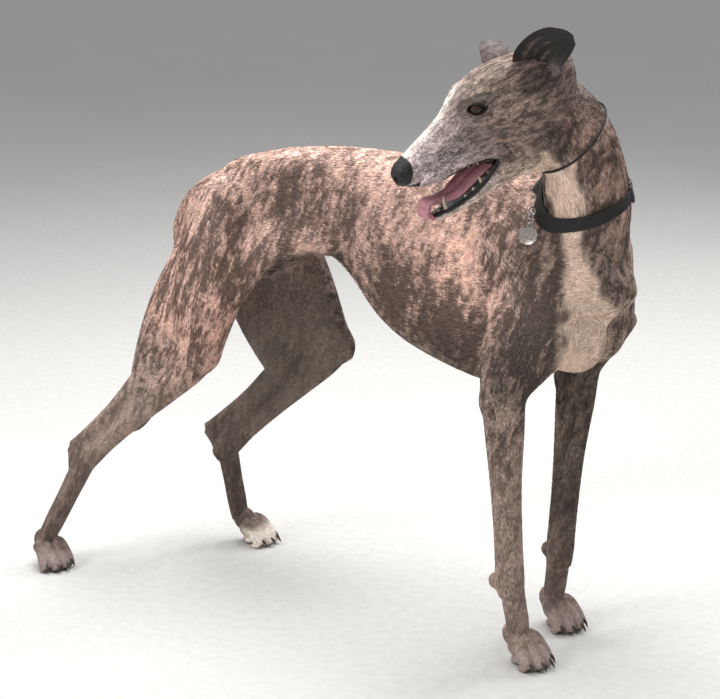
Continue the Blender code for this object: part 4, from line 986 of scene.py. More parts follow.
EAR_LEFT = [
    ((0.0499, 0.0360, 0.0630), (0.35, -0.08, 0.93), 0.0250, 0.0120),
    ((0.0413, 0.0460, 0.0727), (0.32, 0.00, 0.95), 0.0312, 0.0150),
    ((0.0307, 0.0540, 0.0800), (0.25, 0.09, 0.96), 0.0328, 0.0140),
    ((0.0183, 0.0595, 0.0830), (0.15, 0.12, 0.98), 0.0299, 0.0110),
    ((0.0052, 0.0615, 0.0809), (0.07, 0.11, 0.99), 0.0235, 0.0080),
    ((-0.0070, 0.0615, 0.0785), (0.02, 0.11, 0.99), 0.0150, 0.0045),
    ((-0.0141, 0.0615, 0.0770), (-0.12, 0.10, 0.99), 0.0060, 0.0015),
]
EAR_RIGHT = [
    ((0.0646, -0.0360, 0.0638), (0.81, 0.00, 0.58), 0.0220, 0.0120),
    ((0.0597, -0.0450, 0.0736), (0.85, 0.00, 0.53), 0.0240, 0.0140),
    ((0.0570, -0.0520, 0.0850), (0.88, 0.00, 0.48), 0.0226, 0.0120),
    ((0.0541, -0.0580, 0.0926), (0.86, 0.00, 0.50), 0.0216, 0.0090),
    ((0.0506, -0.0640, 0.0964), (0.84, 0.00, 0.54), 0.0203, 0.0070),
    ((0.0486, -0.0680, 0.0982), (0.83, 0.00, 0.56), 0.0186, 0.0050),
    ((0.0472, -0.0710, 0.0994), (0.82, 0.00, 0.57), 0.0148, 0.0020),
]


def ear(name, rows, side):
    """A cupped ear flap with inner folds. The attribute ear holds along, across and inner side."""
    columns = 41
    steps = 10
    fine = smooth_rows([(*c, *a, w, h) for c, a, w, h in rows], steps)
    tangents = np.gradient(fine[:, :3], axis=0)
    grids, marks = [], []
    for inner in (1.0, 0.0):
        grid = []
        for i, (row, tangent) in enumerate(zip(fine, tangents)):
            along = i / (len(fine) - 1)
            forward = Vector(tangent).normalized()
            across = Vector(row[3:6]).normalized()
            across = (across - forward * across.dot(forward)).normalized()
            normal = forward.cross(across).normalized()
            if normal.y * side < 0:
                normal.negate()
            line = []
            for k in range(columns):
                s = -1 + 2 * k / (columns - 1)
                cup = row[7] * (1 - abs(s) ** 2.2)
                thick = 0.0011 * (1 - abs(s) ** 6) + 0.0002
                fold = 0.0
                if inner:
                    ridge = math.cos(2 * math.pi * (s * 2.2 + 0.35 * math.sin(along * 5)))
                    fold = 0.0020 * ridge * max(0.0, 1 - abs(s) * 1.15) * math.sin(math.pi * min(along * 1.5, 1)) ** 0.5
                rim = 0.0009 * max(0.0, (abs(s) - 0.8) / 0.2) * math.sin(along * 17 + s * 3)
                shift = -cup + (thick if inner else -thick) + fold + rim
                point = Vector(row[:3]) + across * (row[6] * s) + normal * shift
                line.append(tuple(point))
                marks.append((along, s, inner))
            grid.append(line)
        grids.append(np.array(grid))
    count = len(fine)
    points = np.concatenate([g.reshape(-1, 3) for g in grids])
    faces = []
    for i in range(count - 1):
        for k in range(columns - 1):
            a = i * columns + k
            faces.append((a, a + 1, a + columns + 1, a + columns))
            b = a + count * columns
            faces.append((b + columns, b + columns + 1, b + 1, b))
    edge = [k for k in range(columns)]
    edge += [i * columns + columns - 1 for i in range(1, count)]
    edge += [(count - 1) * columns + k for k in range(columns - 2, -1, -1)]
    edge += [i * columns for i in range(count - 2, 0, -1)]
    for a, b in zip(edge, edge[1:] + edge[:1]):
        faces.append((a, a + count * columns, b + count * columns, b))
    mesh = mesh_of_arrays(name, points, faces)
    bm = bmesh.new()
    bm.from_mesh(mesh)
    bmesh.ops.recalc_face_normals(bm, faces=bm.faces)
    bm.to_mesh(mesh)
    bm.free()
    put_vector(mesh, "ear", marks)
    mesh.transform(head_frame())
    return new_object(name, mesh)


# Regions of the skin: the line each one lies round, and its thickness


def path_of(joints, names, reach):
    points = [joints[n] for n in names]
    heading = math.radians(joints["heading"])
    x, y, _ = joints["knuckle"]
    points.append((x + reach * math.cos(heading), y + reach * math.sin(heading), 0.010))
    return points


def regions():
    """Lines in the direction the coat lies, with how thick the flesh is round them."""
    to_dog = head_frame()
    head = [tuple(to_dog @ Vector(p)) for p in ((0.262, 0, 0.030), (0.150, 0, 0.030), (0.000, 0, 0.030))]
    made = {
        "torso": ([(x, 0, mid) for x, _, mid, _, _ in reversed(TORSO)], [half + 0.02 for *_, half in reversed(TORSO)]),
        "neck": ([r[:3] for r in reversed(NECK)], [r[3] for r in reversed(NECK)]),
        "head": (head, [0.024, 0.042, 0.055]),
        "tail": ([r[:3] for r in TAIL], [r[3] for r in TAIL]),
    }
    for name, joints in FORE.items():
        top = (SHOULDER_TOP[0], math.copysign(SHOULDER_TOP[1] + 0.025, joints["elbow"][1]), SHOULDER_TOP[2] - 0.05)
        line = [top] + path_of(joints, ("shoulder", "elbow", "carpus", "knuckle"), FORE_TOE_REACH)
        made["foreleg_" + name] = (line, [0.030, 0.040, 0.036, 0.020, 0.022, 0.020])
    for name, joints in HIND.items():
        line = path_of(joints, ("hip", "stifle", "hock", "knuckle"), HIND_TOE_REACH)
        made["hindleg_" + name] = (line, [0.060, 0.055, 0.022, 0.022, 0.020])
    return made


def nearest_on(line, points):
    """Distance to a line of points, share along it and its direction there."""
    line = np.array(line, float)
    lengths = np.linalg.norm(np.diff(line, axis=0), axis=1)
    whole = lengths.sum()
    best = np.full(len(points), 1e9)
    share = np.zeros(len(points))
    way = np.zeros((len(points), 3))
    for i, length in enumerate(lengths):
        step = (line[i + 1] - line[i]) / length
        along = np.clip((points - line[i]) @ step, 0, length)
        far = np.linalg.norm(points - line[i] - along[:, None] * step, axis=1)
        nearer = far < best
        best[nearer] = far[nearer]
        share[nearer] = (lengths[:i].sum() + along[nearer]) / whole
        way[nearer] = step
    return best, share, way


# Noise on arrays of points


def noise(points, seed):
    """Smooth value noise between 0 and 1 with cells of size 1."""
    cell = np.floor(points).astype(np.int64)
    part = points - cell
    part = part * part * (3 - 2 * part)
    total = np.zeros(len(points))
    for corner in range(8):
        bits = np.array([(corner >> k) & 1 for k in range(3)])
        at = cell + bits
        mixed = at[:, 0] * 374761393 + at[:, 1] * 668265263 + at[:, 2] * 1103515245 + seed * 974711
        mixed = (mixed ^ (mixed >> 13)) * 1274126177
        mixed = mixed ^ (mixed >> 16)
        value = (mixed & 0xFFFF) / 65535.0
        weight = np.prod(np.where(bits, part, 1 - part), axis=1)
        total += value * weight
    return total


def layered(points, seed, layers=3):
    total, weight = np.zeros(len(points)), 0.0
    for k in range(layers):
        total += noise(points * 2.03**k + 17.3 * k, seed + k) * 0.5**k
        weight += 0.5**k
    return total / weight


def ramp(values, low, high):
    share = np.clip((values - low) / (high - low), 0, 1)
    return share * share * (3 - 2 * share)


def paint(tint, colour, mask):
    return tint * (1 - mask[:, None]) + np.array(colour) * mask[:, None]


def along_colours(share, stations):
    """Colours between stations of share and colour."""
    places = [s for s, _ in stations]
    table = np.array([c for _, c in stations])
    return np.stack([np.interp(share, places, table[:, k]) for k in range(3)], axis=1)


# Colours of the coat and of bare skin

FAWN = (0.500, 0.334, 0.276)
FAWN_LIGHT = (0.720, 0.474, 0.392)
TAN = (0.540, 0.340, 0.275)
CLAY = (0.420, 0.300, 0.246)
TAUPE = (0.330, 0.240, 0.200)
UMBER = (0.190, 0.138, 0.114)
EARTH = (0.285, 0.210, 0.178)
SMOKE = (0.105, 0.078, 0.063)
SAND = (0.170, 0.132, 0.104)
CREAM = (0.760, 0.590, 0.480)
WHITE = (0.780, 0.700, 0.620)
SILVER = (0.470, 0.380, 0.370)
ASH = (0.360, 0.280, 0.262)
INK = (0.014, 0.012, 0.012)
LID_BROWN = (0.062, 0.046, 0.038)
PAD = (0.030, 0.026, 0.025)
GUM = (0.070, 0.026, 0.028)

# Where the brindle runs darker or lighter on the sides, and where the lower chest is darkened as painted shade: x, z,
# radius and how much
BRINDLE_AND_SHADE_PATCHES = [
    (-0.376, 0.655, 0.030, 0.9),
    (-0.365, 0.610, 0.030, 0.7),
    (-0.330, 0.668, 0.024, 0.5),
    (-0.300, 0.612, 0.036, 0.9),
    (-0.262, 0.630, 0.026, 0.6),
    (-0.425, 0.648, 0.020, 0.5),
    (-0.478, 0.600, 0.030, 0.8),
    (-0.510, 0.555, 0.034, 0.8),
    (-0.485, 0.515, 0.030, 0.7),
    (-0.535, 0.470, 0.032, 0.5),
    (-0.190, 0.545, 0.042, 0.9),
    (-0.222, 0.510, 0.036, 0.6),
    (-0.120, 0.480, 0.040, 0.8),
    # The next three, low on the chest, darken it as painted shade under the body.
    (-0.150, 0.460, 0.060, 0.8),
    (-0.100, 0.435, 0.050, 0.8),
    (-0.205, 0.490, 0.040, 0.8),
    (-0.070, 0.470, 0.036, 0.7),
    (-0.020, 0.560, 0.030, 0.6),
    (0.044, 0.496, 0.045, 1.1),
    (0.035, 0.455, 0.040, 1.1),
    (0.064, 0.530, 0.040, 1.0),
    (0.020, 0.575, 0.030, 0.7),
    (0.086, 0.600, 0.026, 0.9),
    (0.077, 0.630, 0.024, 0.9),
    (-0.230, 0.675, 0.040, -0.9),
    (-0.140, 0.620, 0.040, -0.8),
    (-0.085, 0.610, 0.034, -0.8),
    (-0.065, 0.570, 0.026, -0.9),
    (-0.045, 0.535, 0.022, -0.9),
    (-0.020, 0.490, 0.020, -0.8),
    (-0.330, 0.560, 0.034, -0.6),
    (-0.435, 0.617, 0.016, -0.9),
    (-0.448, 0.560, 0.020, -0.7),
    (-0.540, 0.620, 0.040, -0.5),
    (-0.600, 0.337, 0.050, -0.5),
    (0.120, 0.610, 0.030, -0.3),
]

# The pale stripe from the throat down the front of the neck to the breast: point and half width
STRIPE = [
    ((-0.010, -0.190, 0.700), 0.020),
    ((0.030, -0.150, 0.706), 0.026),
    ((0.058, -0.124, 0.712), 0.030),
    ((0.074, -0.098, 0.690), 0.030),
    ((0.084, -0.084, 0.658), 0.024),
    ((0.092, -0.076, 0.612), 0.017),
    ((0.100, -0.072, 0.570), 0.018),
    ((0.106, -0.058, 0.530), 0.031),
    ((0.102, -0.050, 0.492), 0.041),
    ((0.086, -0.056, 0.450), 0.030),
    ((0.056, -0.046, 0.405), 0.020),
]


# Grooves (depth below 0) and ridges over the muscles, in x and z on each outer side:
# name, sides, depth, half width, points
MUSCLE_LINES = [
    ("blade_spine", (-1, 1), 0.0012, 0.0075, [(-0.040, 0.660), (-0.005, 0.600), (0.040, 0.545)]),
    ("blade_front", (-1, 1), -0.0016, 0.0120, [(0.005, 0.655), (0.045, 0.600), (0.075, 0.560)]),
    ("behind_arm", (-1, 1), -0.0026, 0.0140, [(-0.098, 0.650), (-0.104, 0.580), (-0.085, 0.500), (-0.050, 0.430)]),
    ("arm_muscles", (-1, 1), -0.0018, 0.0090, [(0.020, 0.560), (0.010, 0.505), (-0.020, 0.450)]),
    ("last_rib", (-1, 1), -0.0024, 0.0140, [(-0.235, 0.660), (-0.268, 0.600), (-0.262, 0.545), (-0.215, 0.470)]),
    ("under_loin", (-1, 1), -0.0018, 0.0130, [(-0.250, 0.648), (-0.330, 0.640), (-0.405, 0.648)]),
    ("hip_bone", (-1, 1), 0.0026, 0.0160, [(-0.448, 0.668), (-0.462, 0.655)]),
    ("fore_thigh", (-1, 1), -0.0022, 0.0120, [(-0.455, 0.610), (-0.462, 0.540), (-0.478, 0.460)]),
    ("hind_thigh", (-1, 1), -0.0024, 0.0110, [(-0.560, 0.590), (-0.572, 0.520), (-0.588, 0.430)]),
    ("belly_edge", (-1, 1), -0.0012, 0.0100, [(-0.240, 0.470), (-0.300, 0.520), (-0.360, 0.560)]),
]
RIB_COUNT = 8


def line_distance(points, line):
    """Distance in the plane from points to a polyline, and the share along it."""
    line = np.array(line, float)
    best = np.full(len(points), 1e9)
    share = np.zeros(len(points))
    lengths = np.linalg.norm(np.diff(line, axis=0), axis=1)
    for i, length in enumerate(lengths):
        step = (line[i + 1] - line[i]) / length
        along = np.clip((points - line[i]) @ step, 0, length)
        far = np.linalg.norm(points - line[i] - along[:, None] * step, axis=1)
        nearer = far < best
        best[nearer] = far[nearer]
        share[nearer] = (lengths[:i].sum() + along[nearer]) / lengths.sum()
    return best, share


def relief(points, normals, weights):
    """How far muscles, ribs and veins lift or sink the skin at each point."""
    made = np.zeros(len(points))
    plane = points[:, (0, 2)]
    trunk = weights["torso"] + weights["neck"]
    for name in ("foreleg_right", "foreleg_left", "hindleg_right", "hindleg_left"):
        trunk = trunk + weights[name]
    for name, sides, depth, half, line in MUSCLE_LINES:
        far, share = line_distance(plane, line)
        fade = np.sin(np.pi * np.clip(share * 0.86 + 0.07, 0, 1)) ** 0.6
        for side in sides:
            facing = ramp(normals[:, 1] * side, 0.15, 0.65) * (points[:, 1] * side > 0.02)
            made += depth * np.exp(-((far / half) ** 2)) * fade * facing * trunk
    for k in range(RIB_COUNT):
        x = -0.085 - 0.0205 * k
        line = [(x, 0.640), (x - 0.020, 0.560), (x + 0.012, 0.480), (x + 0.030, 0.440)]
        far, share = line_distance(plane, line)
        facing = ramp(np.abs(normals[:, 1]), 0.45, 0.8)
        fade = np.sin(np.pi * np.clip(share * 0.9 + 0.05, 0, 1)) ** 0.5
        made += 0.0008 * np.exp(-((far / 0.0055) ** 2)) * facing * fade * weights["torso"]
    for name, joints in HIND.items():
        stifle, hock = np.array(joints["stifle"]), np.array(joints["hock"])
        heel = np.array(joints["heel"])
        start = stifle * 0.62 + hock * 0.38 + (-0.012, 0, 0.004)
        end = hock * 0.5 + heel * 0.5
        far, share = line_distance(plane, [start[[0, 2]], end[[0, 2]]])
        fade = np.sin(np.pi * np.clip(share * 0.9 + 0.08, 0, 1)) ** 0.5
        made -= 0.0026 * np.exp(-((far / 0.0065) ** 2)) * fade * weights["hindleg_" + name]
    vein = [(0.060, 0.074, 0.370), (0.052, 0.068, 0.310), (0.047, 0.063, 0.240), (0.040, 0.060, 0.180)]
    far = nearest_on(vein, points)[0]
    made += 0.0013 * np.exp(-((far / 0.0034) ** 2)) * weights["foreleg_left"]
    return made


# Folds of the head, as lines of x and z in its frame: depth, half width, points
FACE_LINES = [
    (-0.0012, 0.0028, [(0.112, 0.0735), (0.124, 0.0770), (0.137, 0.0755), (0.147, 0.0690)]),
    (-0.0010, 0.0030, [(0.116, 0.0480), (0.130, 0.0465), (0.146, 0.0520)]),
    (0.0010, 0.0055, [(0.150, 0.0500), (0.180, 0.0440), (0.215, 0.0380)]),
    (-0.0010, 0.0060, [(0.148, 0.0640), (0.170, 0.0560), (0.200, 0.0500)]),
    (-0.0014, 0.0050, [(0.130, -0.0120), (0.118, -0.0200), (0.108, -0.0330)]),
    (-0.0010, 0.0040, [(0.126, 0.0060), (0.112, -0.0060), (0.104, -0.0180)]),
    (-0.0016, 0.0080, [(0.030, 0.0300), (0.040, 0.0000), (0.036, -0.0300)]),
]


def face_relief(inside, weight):
    made = np.zeros(len(inside))
    plane = inside[:, (0, 2)]
    for depth, half, line in FACE_LINES:
        far, share = line_distance(plane, line)
        fade = np.sin(np.pi * np.clip(share * 0.9 + 0.05, 0, 1)) ** 0.6
        made += depth * np.exp(-((far / half) ** 2)) * fade * weight * (np.abs(inside[:, 1]) > 0.012)
    return made


# The hollow of the mouth: x in the head's frame and how far it reaches to each side
MOUTH_HALF_WIDTHS = [(0.137, 0.0195), (0.170, 0.0185), (0.200, 0.0165), (0.225, 0.0130), (0.245, 0.0080)]

# Spacing of the whisker roots on the muzzle
DOT_SPACING = 0.0058


# A box in the head's frame that holds the face and the open jaw, and nothing of the body
FACE_CENTRE = np.array([0.190, 0.000, 0.020])
FACE_HALF = np.array([0.100, 0.050, 0.085])


class Skin:
    """The whole skin, with what is known about each of its points."""

    def __init__(self):
        dense = self.form()
        self.take(dense)
        self.sculpt()
        self.take(self.thinned(dense))
        self.colour()
        self.lay_coat()

    def take(self, obj):
        self.obj, self.mesh = obj, obj.data
        self.spread = Spread(self.mesh)
        self.points = coordinates(self.mesh)
        self.normals = point_normals(self.mesh)
        self.measure()

    def form(self):
        pieces = [body_flesh(), head_flesh(HEAD_VOXEL)]
        for kind, legs in (("fore", FORE), ("hind", HIND)):
            for name, joints in legs.items():
                pieces.append(paw_flesh(kind, name, joints))
        pieces.append(tube("tail", [r[:3] for r in TAIL], [r[3] for r in TAIL], sides=24, steps=6))
        whole = fuse("skin", pieces, SKIN_VOXEL, 2)
        front = slab("before_nose", [(x + 0.0016, z) for x, z in NOSE_OUTLINE], -0.08, 0.08)
        front.data.transform(head_frame())
        return combine(whole, front, "DIFFERENCE")

    def thinned(self, obj):
        """Fewer triangles on the body, and finer ones kept on the head and the feet."""
        middle = np.array(head_frame() @ Vector((0.150, 0, 0.020)))
        for fine, target in ((False, BODY_TRIANGLES), (True, FINE_TRIANGLES)):
            points = coordinates(obj.data)
            near = np.linalg.norm(points - middle, axis=1) < 0.150
            chosen = (near | (points[:, 2] < 0.070)) == fine
            group = obj.vertex_groups.new(name="thinned")
            group.add(np.nonzero(chosen)[0].tolist(), 1.0, "REPLACE")
            mesh = obj.data
            mesh.calc_loop_triangles()
            corners = np.empty(len(mesh.loop_triangles) * 3, np.int32)
            mesh.loop_triangles.foreach_get("vertices", corners)
            inside = chosen[corners.reshape(-1, 3)].all(axis=1)
            total = len(inside)
            fewer = obj.modifiers.new("Decimate", "DECIMATE")
            fewer.ratio = min(1.0, (total - inside.sum() + target) / total)
            fewer.vertex_group = group.name
            fewer.use_collapse_triangulate = True
            made = evaluated_copy(obj, "skin")
            remove(obj)
            made.vertex_groups.clear()
            obj = made
        return obj

    def measure(self):
        """Which region each point belongs to, how far along it, and its place in the head."""
        self.names = list(regions())
        found, self.share, ways = [], {}, []
        for name, (line, radii) in regions().items():
            far, share, way = nearest_on(line, self.points)
            lengths = np.linalg.norm(np.diff(np.array(line), axis=0), axis=1)
            stations = np.concatenate([[0], np.cumsum(lengths)]) / lengths.sum()
            found.append(far / np.interp(share, stations, radii))
            self.share[name] = share
            ways.append(way)
        nearest = np.argmin(np.array(found), axis=0)
        back = np.array(head_frame().inverted())
        self.inside = self.points @ back[:3, :3].T + back[:3, 3]
        off = np.abs(self.inside - FACE_CENTRE) / FACE_HALF
        nearest[np.all(off < 1, axis=1)] = self.names.index("head")
        one = np.eye(len(self.names))[nearest]
        soft = self.spread.soften(one, 24)
        self.weights = {name: soft[:, k] for k, name in enumerate(self.names)}
        self.region = nearest
        self.ways = sum(soft[:, k : k + 1] * ways[k] for k in range(len(ways)))
        self.headed = self.weights["head"]

    def sculpt(self):
        normals = self.normals
        move = relief(self.points, normals, self.weights)
        move += face_relief(self.inside, self.headed)
        depth = COAT_DEPTH * np.ones(len(self.points))
        depth *= 1 - 0.55 * self.headed
        depth *= ramp(self.points[:, 2], 0.004, 0.03) * 0.6 + 0.4
        self.points = self.points + normals * (move - depth)[:, None]
        self.points[:, 2] = np.maximum(self.points[:, 2], 0.0004)
        set_coordinates(self.mesh, self.points)

    def mouth(self):
        """Masks for the inside of the mouth and for the lips."""
        x, y, z = self.inside.T
        places = [r[0] for r in MOUTH_HALF_WIDTHS]
        width = np.interp(x, places, [r[1] for r in MOUTH_HALF_WIDTHS])
        inner = slice_between(x, z) * (np.abs(y) < width) * (x > 0.137) * (x < 0.262)
        rough = 0.0012 * (layered(self.inside * 260, 5) - 0.5)
        mirrored = np.stack([x, np.abs(y), z], axis=1)
        upper = nearest_on(UPPER_ROLL, mirrored)[0] + rough
        lower = nearest_on(LOWER_ROLL, mirrored)[0] + rough
        lips = ramp(-upper, -0.0034, -0.0022) * (z < np.interp(x, [0.137, 0.25], [-0.004, 0.022]))
        lips = np.maximum(lips, ramp(-lower, -0.0052, -0.0036))
        below = line_distance(self.inside[:, (0, 2)], LOWER_LIP_BAND)[0] + rough
        lips = np.maximum(lips, ramp(-below, -0.0042, -0.0028))
        corner = np.linalg.norm(mirrored - (0.1400, 0.0235, -0.0085), axis=1) + rough
        lips = np.maximum(lips, ramp(-corner, -0.0058, -0.0040))
        return np.clip(inner, 0, 1) * self.headed, lips * self.headed

    def colour(self):
        """The tint of every point, with painted light on the upper back and painted shade under the body and on the
        inner sides of the legs, and how strongly it is streaked, grizzled and damp.
        """
        p, n, h = self.points, self.normals, self.inside
        x, y, z = p.T
        w, share = self.weights, self.share
        wobble = (layered(p * 28, 11) - 0.5) * 2
        torso = along_colours(x, [(-0.62, TAN), (-0.50, FAWN), (-0.05, FAWN), (0.04, CLAY), (0.10, TAUPE)])
        ribs = np.hypot((x + 0.060) / 0.085, (z - 0.560) / 0.075)
        torso = paint(torso, FAWN_LIGHT, ramp(-ribs - 0.2 * wobble, -1.3, -0.4) * 0.8)
        # Painted light: the upward-facing back and loin are tinted paler fawn, as if lit from above.
        torso = paint(torso, FAWN_LIGHT, ramp(n[:, 2] + 0.12 * wobble, 0.60, 0.95) * 0.9)
        # Painted shade: the downward-facing underside is tinted dark grey-beige, partly its own grey-beige coat and
        # partly shade under the body.
        torso = paint(torso, SAND, ramp(-n[:, 2] + 0.10 * wobble, 0.15, 0.75) * 0.9)
        neck = along_colours(share["neck"], [(0.0, UMBER), (0.45, UMBER), (0.75, TAUPE), (1.0, TAUPE)])
        neck = paint(neck, SMOKE, ramp(wobble, 0.0, 0.6) * 0.6)
        neck = paint(neck, FAWN, ramp(x - 0.35 * y + 0.02 * wobble, 0.125, 0.150) * 0.7)
        tint = w["torso"][:, None] * torso + w["neck"][:, None] * neck
        tint = tint + w["head"][:, None] * self.head_colours()
        tail = along_colours(share["tail"], [(0.0, FAWN), (0.4, TAUPE), (1.0, UMBER)])
        tint = tint + w["tail"][:, None] * tail
        legs = {
            "foreleg_right": [(0.0, FAWN), (0.10, CLAY), (0.22, TAUPE), (0.38, UMBER), (0.46, TAUPE), (0.84, TAUPE)],
            "foreleg_left": [(0.0, FAWN), (0.25, TAUPE), (0.40, SMOKE), (0.70, SMOKE), (0.86, UMBER), (1.0, TAUPE)],
            "hindleg_right": [(0.0, FAWN), (0.25, TAN), (0.42, TAUPE), (0.62, TAUPE), (0.72, UMBER), (0.86, UMBER)],
            "hindleg_left": [(0.0, FAWN), (0.25, UMBER), (0.42, UMBER), (0.62, UMBER), (0.88, SMOKE), (1.0, TAUPE)],
        }
        for name, stations in legs.items():
            tint = tint + w[name][:, None] * along_colours(share[name] + 0.012 * wobble, stations)
        # The inner sides of the legs, facing each other, are tinted dark grey-beige: partly their own coat, partly
        # painted shade between the legs.
        inner_leg_tone_and_shade = ramp(-n[:, 1] * np.sign(y), 0.2, 0.7) * ramp(z, 0.20, 0.30) * ramp(-z, -0.56, -0.46)
        hind = w["hindleg_right"] + w["hindleg_left"]
        tint = paint(tint, SAND, inner_leg_tone_and_shade * hind * 0.9)
        fore = w["foreleg_right"] + w["foreleg_left"]
        tint = paint(tint, SAND, inner_leg_tone_and_shade * fore * 0.5)
        far = np.full(len(p), 9.0)
        line = smooth_rows([(*a, r) for a, r in STRIPE], 6)
        for row in line:
            apart = np.linalg.norm(p - row[:3], axis=1) / row[3]
            far = np.minimum(far, apart)
        front = ramp(x, -0.03, 0.03) * (1 - hind)
        edge = far + 0.75 * (layered(p * (60, 60, 22), 21) - 0.5) * 2
        stripe = ramp(-edge, -1.25, -0.70) * np.maximum(front, w["neck"] + w["head"])
        stripe *= 1 - ramp(w["head"] * ramp(h[:, 2], -0.055, -0.035), 0.3, 0.7)
        tint = paint(tint, CREAM, stripe)
        spot = np.linalg.norm(p - (0.087, -0.092, 0.516), axis=1) + 0.004 * wobble
        tint = paint(tint, UMBER, ramp(-spot, -0.016, -0.008) * 0.9)
        keel = ramp(-n[:, 2], 0.25, 0.8) * ramp(x, -0.12, 0.02) * w["torso"]
        tint = paint(tint, CREAM, keel * 0.6)
        toes = ramp(-z + 0.004 * wobble, -0.040, -0.024)
        tint = paint(tint, WHITE, toes * w["hindleg_left"] * ramp(x, -0.598, -0.575))
        tint = paint(tint, ASH, toes * (fore + w["hindleg_right"]) * 0.6)
        tint = paint(tint, PAD, ramp(-n[:, 2], 0.35, 0.6) * ramp(-z, -0.012, -0.008))
        inner, lips = self.mouth()
        tint = paint(tint, GUM, inner)
        tint = paint(tint, INK, lips)
        eyes = np.full(len(p), 9.0)
        for side in (-1, 1):
            back = np.array(slanted(side).inverted())
            local = p @ back[:3, :3].T + back[:3, 3]
            tall = np.where(local[:, 2] > 0, LID_UP, LID_DOWN) + 0.0012
            round_eye = np.hypot(local[:, 1] / (LID_HALF + 0.0014), local[:, 2] / tall)
            eyes = np.minimum(eyes, np.where(local[:, 0] > 0.0, round_eye, 9.0))
        rims = ramp(-eyes, -1.20, -1.0) * self.headed
        self.eye_near = ramp(-eyes, -2.2, -1.0)
        tint = paint(tint, INK, rims)
        self.inner, self.lips, self.rims = inner, lips, rims
        streak = 1 - 0.90 * np.clip(stripe + inner + lips + rims + toes + 0.7 * inner_leg_tone_and_shade * hind, 0, 1)
        streak *= 1 - 0.25 * self.headed
        streak *= 1 - 0.40 * ramp(-z, -0.35, -0.25)
        # The patches make the brindle darker or lighter; those low on the chest are painted shade.
        self.dusk = np.zeros(len(p))
        for px, pz, radius, amount in BRINDLE_AND_SHADE_PATCHES:
            apart = np.hypot(x - px, z - pz) / radius
            self.dusk += amount * np.exp(-(apart**2)) * ramp(np.abs(y), 0.015, 0.04) * (1 - self.headed)
        grizzle = self.headed * ramp(h[:, 0], 0.11, 0.21) * (1 - inner - lips)
        damp = np.clip(inner + lips + rims, 0, 1)
        self.tint = np.clip(tint, 0, 1)
        self.mark = np.stack([np.clip(streak, 0, 1), np.clip(grizzle, 0, 1), damp], axis=1)
        legs_all = fore + hind + w["tail"]
        self.where = np.stack([w["torso"] + w["neck"] * 0.5, legs_all + w["neck"] * 0.5, w["head"]], axis=1)
        self.stripe = stripe
        self.legs = legs_all

    def head_colours(self):
        """Grey-brown head, silver muzzle, narrow blaze, pale brow, cream under the jaw."""
        h = self.inside
        x, y, z = h.T
        wobble = (layered(h * 60, 31) - 0.5) * 2
        base = along_colours(x, [(0.0, UMBER), (0.045, EARTH), (0.12, EARTH), (0.17, ASH), (0.21, SILVER), (0.26, SILVER)])
        base = paint(base, UMBER, ramp(wobble, 0.0, 0.7) * 0.5 * ramp(-x, -0.19, -0.15))
        side_of_face = np.hypot((x - 0.168) / 0.045, (z - 0.034) / 0.016)
        base = paint(base, UMBER, ramp(-side_of_face - 0.3 * wobble, -1.3, -0.5) * 0.55)
        ear_foot = np.hypot((x - 0.050) / 0.026, (z - 0.054) / 0.020)
        base = paint(base, SMOKE, ramp(-ear_foot, -1.3, -0.7) * 0.85)
        socket = np.hypot((x - 0.132) / 0.026, (z - 0.068) / 0.017)
        base = paint(base, SMOKE, ramp(-socket, -1.25, -0.6) * 0.70)
        crown = ramp(z, 0.078, 0.094) * ramp(-x, -0.115, -0.08)
        base = paint(base, UMBER, crown * 0.6)
        bridge = np.interp(x, [r[0] for r in SKULL], [r[1] for r in SKULL])
        blaze = ramp(-np.abs(y + 0.001 * wobble), -0.0125, -0.0060) * ramp(x, 0.118, 0.150)
        blaze *= ramp(z - bridge, -0.016, -0.006) * ramp(-x, -0.250, -0.235)
        base = paint(base, WHITE, blaze * 0.85)
        brow = np.hypot((x - 0.121) / 0.016, (z - 0.081) / 0.0034)
        base = paint(base, CREAM, ramp(-brow, -1.3, -0.6) * 0.6)
        cheek = np.hypot((x - 0.090) / 0.032, (z - 0.040) / 0.010)
        base = paint(base, FAWN, ramp(-cheek, -1.3, -0.5) * 0.5)
        snout = ramp(x, 0.150, 0.185) * ramp(-z, -0.030, -0.014)
        base = paint(base, SILVER, snout * 0.6)
        jaw = ramp(-z, 0.018, 0.034) * ramp(x, 0.085, 0.120)
        base = paint(base, CREAM, jaw * 0.45)
        under = ramp(-z + 0.003 * wobble, 0.034, 0.050) * ramp(x, 0.010, 0.035)
        base = paint(base, CREAM, under * 0.85)
        chin = ramp(x, 0.236, 0.243) * ramp(-z, 0.034, 0.037)
        base = paint(base, WHITE, chin)
        across = np.floor(x / DOT_SPACING) * 0.5
        dots = np.hypot((x / DOT_SPACING) % 1 - 0.5, (z / DOT_SPACING + across) % 1 - 0.5)
        muzzle = ramp(x, 0.180, 0.198) * ramp(-x, -0.248, -0.235) * ramp(z, 0.008, 0.014) * ramp(-z, -0.038, -0.030)
        base = paint(base, INK, ramp(-dots, -0.24, -0.10) * muzzle * 0.8)
        return base

